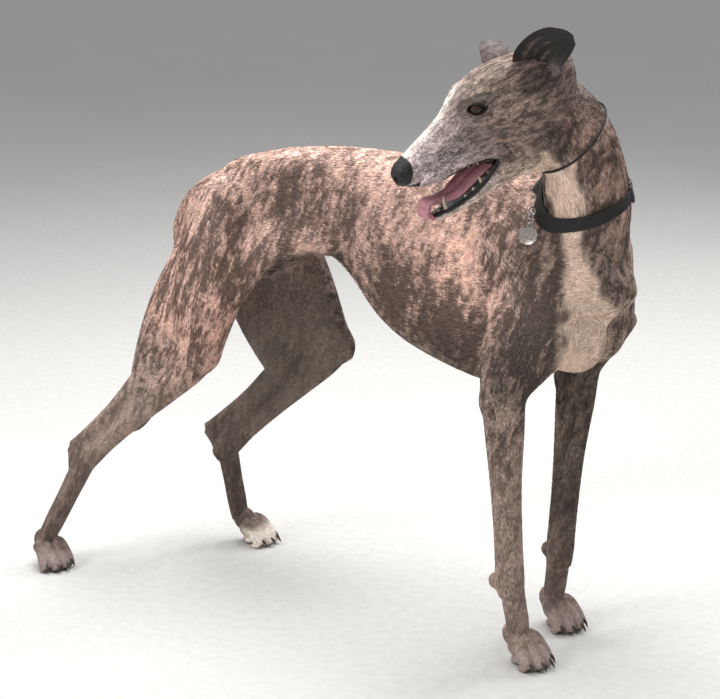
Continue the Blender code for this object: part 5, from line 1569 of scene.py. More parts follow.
    def lay_coat(self):
        """Direction, length, width and density of the tufts at every point."""
        way = self.ways.copy()
        way[:, 2] -= 0.25 * self.weights["torso"]
        way[:, 2] -= 0.35 * self.weights["neck"]
        way = self.spread.soften(way, 12)
        way -= self.normals * np.sum(way * self.normals, axis=1)[:, None]
        swirl = (layered(self.points * 22, 41) - 0.5) * 0.5
        side = np.cross(self.normals, way)
        way = way + side * swirl[:, None]
        size = np.linalg.norm(way, axis=1)[:, None]
        self.way = way / np.maximum(size, 1e-6)
        z = self.points[:, 2]
        length = 0.0068 * np.ones(len(z))
        length = length * (1 - 0.30 * self.legs)
        length = length * (1 - ramp(-z, -0.09, -0.04) * 0.35)
        length = length * (1 - self.headed * 0.45)
        muzzle = self.headed * ramp(self.inside[:, 0], 0.12, 0.20)
        length = length * (1 - 0.45 * muzzle) * (1 - 0.6 * self.eye_near * self.headed)
        back_edge = ramp(-self.normals[:, 0], 0.4, 0.9) * (self.weights["hindleg_right"] + self.weights["hindleg_left"])
        back_edge *= ramp(z, 0.36, 0.44)
        length = length * (1 + 0.5 * back_edge + 0.35 * self.stripe + 0.5 * self.weights["tail"])
        self.length = length
        density = 1 + 1.6 * self.headed + 1.2 * ramp(-z, -0.10, -0.05) + 0.5 * self.legs
        bare = np.clip(self.inner + self.lips * 0.9 + self.rims, 0, 1)
        bare = np.clip(bare + ramp(-self.normals[:, 2], 0.3, 0.6) * ramp(-z, -0.014, -0.009), 0, 1)
        self.density = density * (1 - bare)

    def bare_round(self, centre, normal, half):
        """No tufts under a band round the neck."""
        up = np.array(normal) / np.linalg.norm(normal)
        height = (self.points - np.array(centre)) @ up
        near = np.linalg.norm(self.points - np.array(centre), axis=1) < 0.13
        self.density = self.density * np.where(near & (np.abs(height) < half), 0.0, 1.0)


def slice_between(x, z):
    """1 between the upper and lower edge of the open mouth, 0 outside."""
    top = np.interp(x, [p[0] for p in UPPER_LIP] + [0.262], [p[1] for p in UPPER_LIP] + [0.018])
    lower = [(0.1385, -0.0105)] + LOWER_LIP[::-1]
    low = np.interp(x, [p[0] for p in lower], [p[1] for p in lower])
    deeper = np.interp(x, [0.118, 0.145, 0.17, 0.2, 0.225, 0.24], [0.0, 0.010, 0.014, 0.016, 0.016, 0.014])
    under = np.interp(x, [0.118, 0.145, 0.17, 0.2, 0.225, 0.24], [-0.02, -0.026, -0.036, -0.040, -0.039, -0.034])
    return ((z < np.maximum(top, deeper) + 0.0012) & (z > np.minimum(low, under) - 0.0012)).astype(float)


# Tufts of the coat

TUFT_COUNT = 300000
PIECE_LIMIT = 48000
PATCH = 0.003


def unwrap(obj):
    bpy.context.view_layer.objects.active = obj
    for other in bpy.context.selected_objects:
        other.select_set(False)
    obj.select_set(True)
    bpy.ops.object.mode_set(mode="EDIT")
    bpy.ops.mesh.select_all(action="SELECT")
    bpy.ops.uv.smart_project(angle_limit=math.radians(66), island_margin=0.0)
    bpy.ops.object.mode_set(mode="OBJECT")
    obj.data.uv_layers[0].name = "OFBake"
    obj.select_set(False)


def tufts(skin):
    """Small closed wedges rooted on the skin, one batch of pieces per region."""
    rng = np.random.default_rng(SEED)
    mesh = skin.mesh
    mesh.calc_loop_triangles()
    count = len(mesh.loop_triangles)
    corners = np.empty(count * 3, np.int32)
    mesh.loop_triangles.foreach_get("vertices", corners)
    corners = corners.reshape(-1, 3)
    loops = np.empty(count * 3, np.int32)
    mesh.loop_triangles.foreach_get("loops", loops)
    loops = loops.reshape(-1, 3)
    flat = np.empty(len(mesh.loops) * 2, np.float32)
    mesh.uv_layers["OFBake"].data.foreach_get("uv", flat)
    flat = flat.reshape(-1, 2)
    p = skin.points[corners]
    area = 0.5 * np.linalg.norm(np.cross(p[:, 1] - p[:, 0], p[:, 2] - p[:, 0]), axis=1)
    thick = skin.density[corners].min(axis=1)
    share = np.cumsum(area * thick)
    picks = (np.arange(TUFT_COUNT) + rng.random(TUFT_COUNT)) / TUFT_COUNT * share[-1]
    face = np.minimum(np.searchsorted(share, picks), count - 1)
    a, b = rng.random(TUFT_COUNT), rng.random(TUFT_COUNT)
    over = a + b > 1
    a[over], b[over] = 1 - a[over], 1 - b[over]
    mix = np.stack([1 - a - b, a, b], axis=1)

    def at(values):
        values = np.asarray(values, float)
        if values.ndim == 1:
            values = values[:, None]
        return np.einsum("nk,nkc->nc", mix, values[corners[face]])

    root, normal, way = at(skin.points), at(skin.normals), at(skin.way)
    normal /= np.linalg.norm(normal, axis=1)[:, None]
    way -= normal * np.sum(way * normal, axis=1)[:, None]
    way /= np.maximum(np.linalg.norm(way, axis=1)[:, None], 1e-6)
    side = np.cross(normal, way)
    turn = rng.normal(0, 0.16, TUFT_COUNT)[:, None]
    way = way * np.cos(turn) + side * np.sin(turn)
    side = np.cross(normal, way)
    length = at(skin.length) * rng.uniform(0.7, 1.25, TUFT_COUNT)[:, None]
    width = np.clip(length * 0.062, 0.00016, 0.00042)
    rise = np.clip(rng.normal(0.10, 0.035, TUFT_COUNT), 0.04, 0.24)[:, None]
    sink = 0.00035
    points = np.empty((TUFT_COUNT, 4, 3))
    points[:, 0] = root - side * width - normal * sink
    points[:, 1] = root + side * width - normal * sink
    points[:, 2] = root + way * length * 0.42 + normal * (length * 0.42 * rise + width * 0.7)
    points[:, 3] = root + way * length + normal * (length * rise * 0.75)
    faces = np.array([(0, 1, 2), (0, 2, 3), (2, 1, 3), (1, 0, 3)])
    uv = np.einsum("nk,nkc->nc", mix, flat[loops[face]])
    offsets = np.array([(-0.5, -0.5), (0.5, -0.5), (0.0, 0.0), (0.0, 0.5)]) * PATCH
    values = {"root": root, "tint": at(skin.tint), "mark": at(skin.mark), "where": at(skin.where)}
    shade = rng.random(TUFT_COUNT)
    dusk = at(skin.dusk)[:, 0]
    region = skin.region[corners[face, 0]]
    made = []
    for k, name in enumerate(skin.names):
        mine = np.nonzero(region == k)[0]
        parts = max(1, math.ceil(len(mine) / PIECE_LIMIT))
        for part, chosen in enumerate(np.array_split(mine, parts)):
            if len(chosen) == 0:
                continue
            title = f"coat_{name}" + (f"_{part + 1}" if parts > 1 else "")
            base = (np.arange(len(chosen)) * 4)[:, None, None]
            mesh = mesh_of_arrays(title, points[chosen].reshape(-1, 3), (faces[None] + base).reshape(-1, 3))
            for key, value in values.items():
                put_vector(mesh, key, np.repeat(value[chosen], 4, axis=0))
            put_number(mesh, "shade", np.repeat(shade[chosen], 4))
            put_number(mesh, "dusk", np.repeat(dusk[chosen], 4))
            layer = mesh.uv_layers.new(name="OFBake")
            spots = uv[chosen][:, None, :] + offsets[faces.ravel()][None]
            layer.data.foreach_set("uv", spots.astype(np.float32).ravel())
            made.append(new_object(title, mesh))
    return made


# Node materials


class Paper:
    """A small helper that lays out one material's nodes."""

    def __init__(self, name, roughness=0.5, metallic=0.0):
        self.material = bpy.data.materials.new(name)
        self.material.use_nodes = True
        self.tree = self.material.node_tree
        self.shader = self.tree.nodes["Principled BSDF"]
        self.shader.inputs["Roughness"].default_value = roughness
        self.shader.inputs["Metallic"].default_value = metallic

    def add(self, kind, **settings):
        node = self.tree.nodes.new("ShaderNode" + kind)
        for key, value in settings.items():
            setattr(node, key, value)
        return node

    def link(self, source, target):
        self.tree.links.new(source, target)

    def put(self, socket, value):
        if isinstance(value, bpy.types.NodeSocket):
            self.link(value, socket)
        else:
            socket.default_value = value

    def attribute(self, name):
        return self.add("Attribute", attribute_name=name)

    def number(self, operation, a, b=None, c=None, clamp=False):
        node = self.add("Math", operation=operation, use_clamp=clamp)
        for socket, value in zip(node.inputs, (a, b, c)):
            if value is not None:
                self.put(socket, value)
        return node.outputs[0]

    def noise(self, vector, scale, detail=3.0, rough=0.5, distortion=0.0):
        node = self.add("TexNoise")
        node.inputs["Scale"].default_value = scale
        node.inputs["Detail"].default_value = detail
        node.inputs["Roughness"].default_value = rough
        node.inputs["Distortion"].default_value = distortion
        self.link(vector, node.inputs["Vector"])
        return node.outputs["Fac"]

    def drawn_out(self, vector, scale, turn=(0, 0, 0), shift=(0, 0, 0)):
        """A space in which a pattern comes out longer by scale along the axes of a turned frame."""
        node = self.add("Mapping", vector_type="TEXTURE")
        node.inputs["Location"].default_value = shift
        node.inputs["Rotation"].default_value = [math.radians(a) for a in turn]
        node.inputs["Scale"].default_value = scale
        self.link(vector, node.inputs["Vector"])
        return node.outputs["Vector"]

    def between(self, value, low, high, out_low=0.0, out_high=1.0):
        node = self.add("MapRange", interpolation_type="SMOOTHSTEP")
        for name, number in zip(("From Min", "From Max", "To Min", "To Max"), (low, high, out_low, out_high)):
            node.inputs[name].default_value = number
        self.link(value, node.inputs["Value"])
        return node.outputs["Result"]

    def blend(self, factor, a, b, kind="MIX"):
        node = self.add("Mix", data_type="RGBA", blend_type=kind)
        self.put(node.inputs[0], factor)
        for socket, value in ((node.inputs[6], a), (node.inputs[7], b)):
            self.put(socket, value if isinstance(value, bpy.types.NodeSocket) else (*value, 1.0))
        return node.outputs[2]

    def blend_number(self, factor, a, b):
        node = self.add("Mix", data_type="FLOAT")
        for socket, value in ((node.inputs[0], factor), (node.inputs[2], a), (node.inputs[3], b)):
            self.put(socket, value)
        return node.outputs[0]

    def scaled(self, colour, factor):
        node = self.add("VectorMath", operation="SCALE")
        self.put(node.inputs[0], colour)
        self.put(node.inputs["Scale"], factor)
        return node.outputs[0]

    def bump(self, height, strength, distance):
        node = self.add("Bump")
        node.inputs["Strength"].default_value = strength
        node.inputs["Distance"].default_value = distance
        self.link(height, node.inputs["Height"])
        self.link(node.outputs["Normal"], self.shader.inputs["Normal"])
        return node


def coat_look():
    """Brindle streaks, denser low on the chest as painted shade, grizzle and fine hair lines that darken in their
    grooves as painted shade, all placed by the root of each tuft.
    """
    m = Paper("coat_look", 0.62)
    m.shader.inputs["Specular IOR Level"].default_value = 0.35
    root = m.attribute("root").outputs["Vector"]
    tint = m.attribute("tint").outputs["Vector"]
    mark = m.add("SeparateXYZ")
    m.link(m.attribute("mark").outputs["Vector"], mark.inputs[0])
    where = m.add("SeparateXYZ")
    m.link(m.attribute("where").outputs["Vector"], where.inputs[0])
    dusk = m.attribute("dusk").outputs["Fac"]
    wide = m.noise(m.drawn_out(root, (1.0, 2.0, 4.4), (0, 12, 0)), 60.0, 4.0, 0.60, 0.45)
    narrow = m.noise(m.drawn_out(root, (1.0, 2.0, 3.2), (0, 20, 0), (0.3, 0.1, 0.7)), 150.0, 3.0, 0.6, 0.4)
    small = m.noise(m.drawn_out(root, (2.8, 1.0, 1.0), (0, 31, -135)), 175.0, 4.0, 0.62, 0.3)
    fine = m.noise(m.drawn_out(root, (2.6, 1.2, 1.0), (0, 40, 0)), 330.0, 4.0, 0.65)
    body = m.number("ADD", m.number("MULTIPLY", wide, 0.48), m.number("MULTIPLY", narrow, 0.52))
    level = m.blend_number(where.outputs[2], body, small)
    level = m.number("MULTIPLY_ADD", m.number("ADD", fine, -0.5), 0.38, level)
    # dusk darkens the streaks by the patches, those low on the chest as painted shade.
    level = m.number("MULTIPLY_ADD", dusk, 0.070, level)
    dark = m.number("MULTIPLY", m.between(level, 0.425, 0.585), mark.outputs[0])
    shadow = m.blend(1.0, tint, (0.150, 0.136, 0.128), "MULTIPLY")
    colour = m.blend(m.number("MULTIPLY", dark, 0.90), tint, shadow)
    glow = m.blend(1.0, tint, (1.38, 1.33, 1.30), "MULTIPLY")
    colour = m.blend(m.number("MULTIPLY", m.between(level, 0.46, 0.34), mark.outputs[0]), colour, glow)
    specks = m.between(m.noise(m.drawn_out(root, (2.0, 1.0, 1.0), (0, 31, -135)), 640.0, 2.0, 0.7), 0.48, 0.60)
    grey = m.number("MULTIPLY", m.number("MULTIPLY", specks, mark.outputs[1]), 0.80)
    colour = m.blend(grey, colour, (0.640, 0.545, 0.525))
    heights = []
    frames = (
        (where.outputs[0], (6.0, 1.0, 1.0), (0, 12, 0)),
        (where.outputs[1], (1.0, 1.0, 6.0), (0, 0, 0)),
        (where.outputs[2], (5.0, 1.0, 1.0), (0, 31, -135)),
    )
    for weight, scale, turn in frames:
        lines = m.noise(m.drawn_out(root, scale, turn), 1150.0, 2.0, 0.55)
        heights.append(m.number("MULTIPLY", lines, weight))
    height = m.number("ADD", m.number("ADD", heights[0], heights[1]), heights[2])
    # The hair lines also scale the colour, darker in their grooves: painted shade between the hairs, with their own
    # lighter and darker strands.
    colour = m.scaled(colour, m.between(height, 0.28, 0.72, 0.50, 1.50))
    shade = m.attribute("shade").outputs["Fac"]
    colour = m.scaled(colour, m.number("MULTIPLY_ADD", shade, 0.56, 1.02))
    m.link(colour, m.shader.inputs["Base Color"])
    m.link(m.between(mark.outputs[2], 0.3, 0.9, 0.62, 0.26), m.shader.inputs["Roughness"])
    m.bump(height, 0.55, 0.0006)
    return m.material


# Pale folds inside the ear: place along and across it, half length and half width
EAR_LOBES = [(0.36, 0.18, 0.24, 0.10), (0.26, 0.56, 0.26, 0.15), (0.32, -0.20, 0.20, 0.10)]


def ear_look():
    """Short dark coat outside, nearly bare and black with paler folds inside."""
    m = Paper("ear_look", 0.60)
    at = m.attribute("ear").outputs["Vector"]
    place = m.add("SeparateXYZ")
    m.link(at, place.inputs[0])
    root = m.attribute("root").outputs["Vector"]
    hairs = m.noise(m.drawn_out(root, (4.0, 1.0, 1.0), (0, 20, -135)), 900.0, 3.0, 0.6)
    blotch = m.noise(root, 120.0, 3.0)
    outer = m.blend(m.between(hairs, 0.40, 0.62), (0.060, 0.042, 0.038), (0.200, 0.140, 0.128))
    outer = m.blend(m.between(blotch, 0.45, 0.60), outer, (0.050, 0.037, 0.034))
    lobes = None
    for along, across, long, wide in EAR_LOBES:
        away = m.number("POWER", m.number("DIVIDE", m.number("ADD", place.outputs[0], -along), long), 2.0)
        aside = m.number("POWER", m.number("DIVIDE", m.number("ADD", place.outputs[1], -across), wide), 2.0)
        lobe = m.between(m.number("ADD", away, aside), 1.0, 0.35)
        lobes = lobe if lobes is None else m.number("MAXIMUM", lobes, lobe)
    pale = m.number("MULTIPLY", lobes, m.between(m.noise(at, 9.0, 3.0, 0.6), 0.36, 0.62))
    inner = m.blend(pale, (0.016, 0.012, 0.011), (0.150, 0.108, 0.094))
    inner = m.blend(m.between(place.outputs[0], 0.17, 0.06), inner, outer)
    foot = m.number("MULTIPLY", m.between(place.outputs[1], -0.40, -0.66), m.between(place.outputs[0], 0.58, 0.40))
    inner = m.blend(foot, inner, outer)
    inner = m.blend(m.between(hairs, 0.50, 0.70, 0.0, 0.35), inner, (0.060, 0.046, 0.042))
    colour = m.blend(place.outputs[2], outer, inner)
    m.link(colour, m.shader.inputs["Base Color"])
    m.bump(hairs, 0.5, 0.0005)
    return m.material


def nose_look():
    m = Paper("nose_look", 0.30)
    m.shader.inputs["Specular IOR Level"].default_value = 0.5
    at = m.attribute("root").outputs["Vector"]
    cells = m.add("TexVoronoi", feature="DISTANCE_TO_EDGE")
    cells.inputs["Scale"].default_value = 820.0
    m.link(at, cells.inputs["Vector"])
    pebbles = m.between(cells.outputs["Distance"], 0.0, 0.28)
    # Painted shade: the grooves between the pebbles are coloured darker than their tops.
    colour = m.blend(pebbles, (0.002, 0.0018, 0.0018), (0.008, 0.007, 0.0075))
    m.link(colour, m.shader.inputs["Base Color"])
    m.link(m.between(m.noise(at, 300.0), 0.3, 0.7, 0.20, 0.42), m.shader.inputs["Roughness"])
    m.bump(pebbles, 0.45, 0.0004)
    return m.material


def wet_look(name, low, high, scale, roughness, strength, distance, gloss=0.5):
    m = Paper(name, roughness)
    m.shader.inputs["Specular IOR Level"].default_value = gloss
    m.shader.inputs["Subsurface Weight"].default_value = 0.12
    m.shader.inputs["Subsurface Radius"].default_value = (0.006, 0.002, 0.0015)
    at = m.attribute("root").outputs["Vector"]
    grain = m.noise(at, scale, 3.0, 0.6)
    m.link(m.blend(m.between(grain, 0.35, 0.65), low, high), m.shader.inputs["Base Color"])
    m.bump(grain, strength, distance)
    return m.material


def eye_look():
    """Pupil, brown iris with rays, dark rim and white, by distance from the axis of the eye."""
    m = Paper("eye_look", 0.03)
    m.shader.inputs["Specular IOR Level"].default_value = 0.40
    gaze = m.attribute("gaze").outputs["Vector"]
    place = m.add("SeparateXYZ")
    m.link(gaze, place.inputs[0])
    off = m.number("SQRT", m.number("ADD", m.number("POWER", place.outputs[1], 2.0), m.number("POWER", place.outputs[2], 2.0)))
    angle = m.number("ARCTAN2", place.outputs[2], place.outputs[1])
    rays = m.add("CombineXYZ")
    m.put(rays.inputs[0], m.number("MULTIPLY", angle, 9.0))
    m.put(rays.inputs[1], off)
    streaks = m.noise(rays.outputs[0], 2.4, 3.0, 0.6)
    iris = m.blend(m.between(streaks, 0.35, 0.65), (0.020, 0.009, 0.005), (0.062, 0.028, 0.014))
    colour = m.blend(m.between(off, 0.20, 0.26), (0.002, 0.0015, 0.0015), iris)
    colour = m.blend(m.between(off, 0.56, 0.66), colour, (0.006, 0.004, 0.003))
    colour = m.blend(m.between(off, 0.80, 0.90), colour, (0.030, 0.020, 0.018))
    m.link(colour, m.shader.inputs["Base Color"])
    return m.material


def horn_look():
    m = Paper("claw_look", 0.36)
    at = m.attribute("root").outputs["Vector"]
    lines = m.noise(m.drawn_out(at, (3.0, 1.0, 1.0)), 500.0, 3.0)
    m.link(m.blend(m.between(lines, 0.35, 0.65), (0.018, 0.014, 0.012), (0.075, 0.058, 0.048)), m.shader.inputs["Base Color"])
    m.bump(lines, 0.35, 0.0004)
    return m.material


def tooth_look():
    m = Paper("tooth_look", 0.22)
    at = m.attribute("root").outputs["Vector"]
    stain = m.noise(at, 240.0, 3.0)
    m.link(m.blend(m.between(stain, 0.38, 0.68), (0.72, 0.64, 0.50), (0.55, 0.42, 0.27)), m.shader.inputs["Base Color"])
    m.bump(stain, 0.2, 0.0003)
    return m.material


def webbing_look():
    """Flat woven strap: rows of slanted threads, by distance round it and across it, with painted shade in the grooves
    between them.
    """
    m = Paper("webbing_look", 0.74)
    weave = m.attribute("weave").outputs["Vector"]
    place = m.add("SeparateXYZ")
    m.link(weave, place.inputs[0])
    ridge = m.number("SINE", m.number("ADD", m.number("MULTIPLY", place.outputs[0], 5200.0), m.number("MULTIPLY", place.outputs[1], 2600.0)))
    rib = m.number("SINE", m.number("MULTIPLY", place.outputs[1], 4700.0))
    height = m.number("MULTIPLY", m.number("ADD", m.number("MULTIPLY", ridge, 0.5), 0.5), m.number("ADD", m.number("MULTIPLY", rib, 0.35), 0.65))
    dust = m.noise(weave, 90.0, 4.0, 0.6)
    # Painted shade: the low grooves between the threads are coloured darker than their ridges.
    colour = m.blend(m.between(height, 0.1, 0.9), (0.008, 0.007, 0.007), (0.030, 0.026, 0.024))
    colour = m.blend(m.between(dust, 0.55, 0.75, 0.0, 0.5), colour, (0.050, 0.042, 0.036))
    m.link(colour, m.shader.inputs["Base Color"])
    m.bump(height, 0.6, 0.0004)
    return m.material


def worn_look(name, low, high, roughness, metallic, scale=260.0):
    m = Paper(name, roughness, metallic)
    at = m.attribute("root").outputs["Vector"]
    marks = m.noise(m.drawn_out(at, (1.0, 0.5, 3.0), (20, 35, 10)), scale, 5.0, 0.7)
    m.link(m.blend(m.between(marks, 0.35, 0.7), low, high), m.shader.inputs["Base Color"])
    m.link(m.between(marks, 0.3, 0.7, roughness * 0.75, roughness * 1.35), m.shader.inputs["Roughness"])
    m.bump(marks, 0.15, 0.0002)
    return m.material


def floor_look():
    m = Paper("floor_look", 0.85)
    at = m.add("TexCoord").outputs["Object"]
    grain = m.noise(at, 60.0, 4.0, 0.6)
    cloud = m.noise(at, 1.2, 2.0)
    colour = m.blend(m.between(grain, 0.3, 0.7), (0.60, 0.59, 0.57), (0.66, 0.65, 0.63))
    colour = m.blend(m.between(cloud, 0.3, 0.7, 0.0, 0.25), colour, (0.56, 0.55, 0.53))
    m.link(colour, m.shader.inputs["Base Color"])
    m.bump(grain, 0.1, 0.0006)
    return m.material


# Eyes and lids


def eye(side, name):
    """The ball, with a clear bulge in front. Its attribute gaze is the place from its axis."""
    bm = bmesh.new()
    bmesh.ops.create_uvsphere(bm, u_segments=64, v_segments=40, radius=1)
    obj = mesh_from(name, bm)
    ball = coordinates(obj.data)
    look = Matrix.Rotation(math.radians(-8 * side), 4, "Z") @ Matrix.Rotation(math.radians(4), 4, "Y")
    turn = np.array(look)[:3, :3]
    gaze = ball @ turn
    off = np.hypot(gaze[:, 1], gaze[:, 2])
    bulge = np.where(gaze[:, 0] > 0, np.clip(1 - (off / 0.62) ** 2, 0, 1), 0) * 0.055
    set_coordinates(obj.data, ball * (EYE_RADIUS * (1 + bulge))[:, None])
    put_vector(obj.data, "gaze", np.where(gaze[:, :1] > 0, gaze, (0, 0.9, 0.9)))
    obj.data.transform(eye_matrix(side))
    return obj


def lid_point(angle, scale, radius):
    """A point of the almond between the lids, in the eye's own frame, on a ball of the given radius."""
    c, sine = math.cos(angle), math.sin(angle)
    tall = LID_UP if sine > 0 else LID_DOWN
    y = LID_HALF * c * scale
    z = tall * math.copysign(abs(sine) ** 1.25, sine) * scale
    return (math.sqrt(max(0.0, radius**2 - y * y - z * z)), y, z)


def lid_ring(name, edges, lift=0.0):
    """A closed band round the almond: its edges are scales and radii, with more reach above by lift."""
    count = 64
    points, faces = [], []
    for k in range(count):
        angle = 2 * math.pi * k / count
        for reach, radius in edges:
            more = lift * max(0.0, math.sin(angle)) ** 0.7 if reach > 1.2 else 0.0
            points.append(lid_point(angle, reach + more, radius))
    ring = len(edges)
    for k in range(count):
        for j in range(ring):
            after = (j + 1) % ring
            onward = (k + 1) % count
            faces.append((k * ring + j, k * ring + after, onward * ring + after, onward * ring + j))
    band = new_object(name, mesh_of_arrays(name, np.array(points), faces))
    bm = bmesh.new()
    bm.from_mesh(band.data)
    bmesh.ops.recalc_face_normals(bm, faces=bm.faces)
    bm.to_mesh(band.data)
    bm.free()
    return band


def lids(side):
    """Dark rims round the almond opening, and the small lump in its front corner."""
    r = EYE_RADIUS
    band = lid_ring("lid_band", [(0.96, r + 0.0006), (1.10, r + 0.0026), (1.26, r + 0.0030), (1.24, r)])
    corner = -side * (LID_HALF - 0.0012)
    lump = blob("corner", (0.0070, corner, -0.0006), (0.0020, 0.0022, 0.0016))
    whole = joined("lids", [band, lump])
    whole.data.transform(slanted(side))
    return whole


def lid_folds(side):
    """The furred lids, which cover the ball from the rims out to the skin."""
    r = EYE_RADIUS
    shell = lid_ring("lid_fold", [(1.12, r + 0.0014), (1.30, r + 0.0024), (1.62, r + 0.0020), (1.62, r - 0.0010)], 0.40)
    shell.data.transform(slanted(side))
    mesh = shell.data
    points = coordinates(mesh)
    count = len(points)
    put_vector(mesh, "tint", np.tile(LID_BROWN, (count, 1)))
    put_vector(mesh, "mark", np.tile((0.3, 0.0, 0.0), (count, 1)))
    put_vector(mesh, "where", np.tile((0.0, 0.0, 1.0), (count, 1)))
    put_number(mesh, "dusk", np.zeros(count))
    put_vector(mesh, "root", points)
    put_number(mesh, "shade", np.full(count, 0.42))
    return shell


def whiskers(tree):
    """Stiff whiskers on the muzzle, chin and brow."""
    rng = np.random.default_rng(SEED + 5)
    where = head_frame()
    made = []
    rows = []
    for side in (-1, 1):
        for row, z in enumerate((0.036, 0.030, 0.024, 0.018)):
            for k in range(5):
                rows.append((0.190 + 0.0105 * k - 0.004 * row, 0.06 * side, z, side, 0.020 + 0.003 * (4 - k)))
        for k in range(3):
            rows.append((0.124 + 0.006 * k, 0.06 * side, 0.080, side, 0.012))
    for x, y, z, side, length in rows:
        start = where @ Vector((x, y, z))
        way = where.to_3x3() @ Vector((0, -side, 0))
        hit, normal = tree.ray_cast(start, way, 0.1)[:2]
        if hit is None:
            continue
        back = where.to_3x3() @ Vector((-0.8, 0, -0.25 + rng.normal(0, 0.12)))
        first = (normal * 0.9 + back * 0.6).normalized()
        second = (normal * 0.5 + back).normalized()
        long = length * rng.uniform(0.8, 1.2)
        points = [hit - normal * 0.001, hit + first * long * 0.4, hit + first * long * 0.4 + second * long * 0.35]
        points.append(points[-1] + (second + Vector((0, 0, -0.25))) * long * 0.3)
        made.append(tube("whisker", points, (0.00022, 0.00018, 0.00013, 0.00005), sides=5, steps=3))
    return joined("whiskers", made)


# Collars and tag

GAP = 0.0003
COLLAR_CENTRE = (0.0867, -0.0216, 0.6616)
COLLAR_NORMAL = (-0.118, -0.402, 0.908)
COLLAR_CLIMB = 0.036
COLLAR_CLIMB_ANGLE = 152
COLLAR_WIDTH = 0.0190
COLLAR_THICKNESS = 0.0034
SLIP_CENTRE = (0.0804, -0.0755, 0.7420)
SLIP_NORMAL = (-0.407, -0.635, 0.658)
SLIP_RADIUS = 0.0019
NECK_REACH_LIMIT = 0.078
BUCKLE = (0.0220, 0.0240, 0.0036)
BUCKLE_ANGLE = 28


def ring_frame(centre, normal):
    up = Vector(normal).normalized()
    side = Vector((1, 0, 0))
    side = (side - up * side.dot(up)).normalized()
    other = up.cross(side)
    matrix = Matrix((side, other, up)).transposed().to_4x4()
    matrix.translation = Vector(centre)
    return matrix


def reach_round(tree, where, heights):
    """How far the flesh reaches from the ring's axis in each direction, at its own height."""
    found = []
    count = len(heights)
    for k, height in enumerate(heights):
        start = where @ Vector((0, 0, height))
        angle = 2 * math.pi * k / count
        way = where.to_3x3() @ Vector((math.cos(angle), math.sin(angle), 0))
        hit = tree.ray_cast(start + way * 0.01, way, NECK_REACH_LIMIT)[0]
        found.append(NECK_REACH_LIMIT if hit is None else (hit - start).length)
    reach = np.array(found)
    for _ in range(6):
        reach = (np.roll(reach, 1) + 2 * reach + np.roll(reach, -1)) / 4
    return np.maximum(reach, np.array(found))


def grid_band(name, columns):
    """A closed band from columns of points round its cross-section, joined in a ring."""
    count, around = len(columns), len(columns[0])
    points = np.array(columns).reshape(-1, 3)
    faces = []
    for k in range(count):
        nxt = (k + 1) % count
        for j in range(around):
            other = (j + 1) % around
            faces.append((k * around + j, nxt * around + j, nxt * around + other, k * around + other))
    mesh = mesh_of_arrays(name, points, faces)
    bm = bmesh.new()
    bm.from_mesh(mesh)
    bmesh.ops.recalc_face_normals(bm, faces=bm.faces)
    bm.to_mesh(mesh)
    bm.free()
    return mesh


def strap(tree, count=200):
    """A flat band that follows the neck all the way round and climbs over the withers."""
    where = ring_frame(COLLAR_CENTRE, COLLAR_NORMAL)
    angles = [2 * math.pi * k / count for k in range(count)]
    climb = [max(0.0, math.cos(a - math.radians(COLLAR_CLIMB_ANGLE))) ** 1.5 * COLLAR_CLIMB for a in angles]
    low = reach_round(tree, where, [c - COLLAR_WIDTH / 2 for c in climb])
    high = reach_round(tree, where, [c + COLLAR_WIDTH / 2 for c in climb])
    outline = [(-0.5, 0.2), (-0.47, 0.75), (-0.40, 0.95), (-0.32, 0.88), (0.0, 0.90), (0.32, 0.88), (0.40, 0.95), (0.47, 0.75)]
    outline += [(0.5, 0.2), (0.47, 0.0), (0.0, 0.0), (-0.47, 0.0)]
    columns, marks = [], []
    distance = 0.0
    for k, angle in enumerate(angles):
        column = []
        for level, out in outline:
            share = level + 0.5
            reach = low[k] * (1 - share) + high[k] * share + COAT_DEPTH + GAP + 0.0004 + out * (COLLAR_THICKNESS - 0.0006)
            lift = climb[k] + level * COLLAR_WIDTH
            column.append((reach * math.cos(angle), reach * math.sin(angle), lift))
            marks.append((distance, level * COLLAR_WIDTH, 0.0))
        columns.append(column)
        distance += 0.06 * 2 * math.pi / count
    mesh = grid_band("collar_strap", columns)
    put_vector(mesh, "weave", marks)
    mesh.transform(where)
    reach = max(low[0], high[0]) + COAT_DEPTH
    return new_object("collar_strap", mesh), reach, low, high


def stitches(low, high):
    """Two rows of short raised threads along the front of the strap."""
    where = ring_frame(COLLAR_CENTRE, COLLAR_NORMAL)
    made = []
    count = len(low)
    for row in (-0.30, 0.30):
        for k in range(0, 86):
            angle = math.radians(-86 + 2.0 * k)
            place = int(round((angle % (2 * math.pi)) / (2 * math.pi) * count)) % count
            share = row + 0.5
            reach = low[place] * (1 - share) + high[place] * share + COAT_DEPTH + GAP + 0.0004 + 0.89 * (COLLAR_THICKNESS - 0.0006)
            turn = Matrix.Rotation(angle, 4, "Z")
            climb = max(0.0, math.cos(angle - math.radians(COLLAR_CLIMB_ANGLE))) ** 1.5 * COLLAR_CLIMB
            thread = blob("thread", (reach, 0, climb + row * COLLAR_WIDTH), (0.0003, 0.0007, 0.00022), segments=8)
            thread.data.transform(where @ turn)
            made.append(thread)
    return joined("collar_stitches", made)


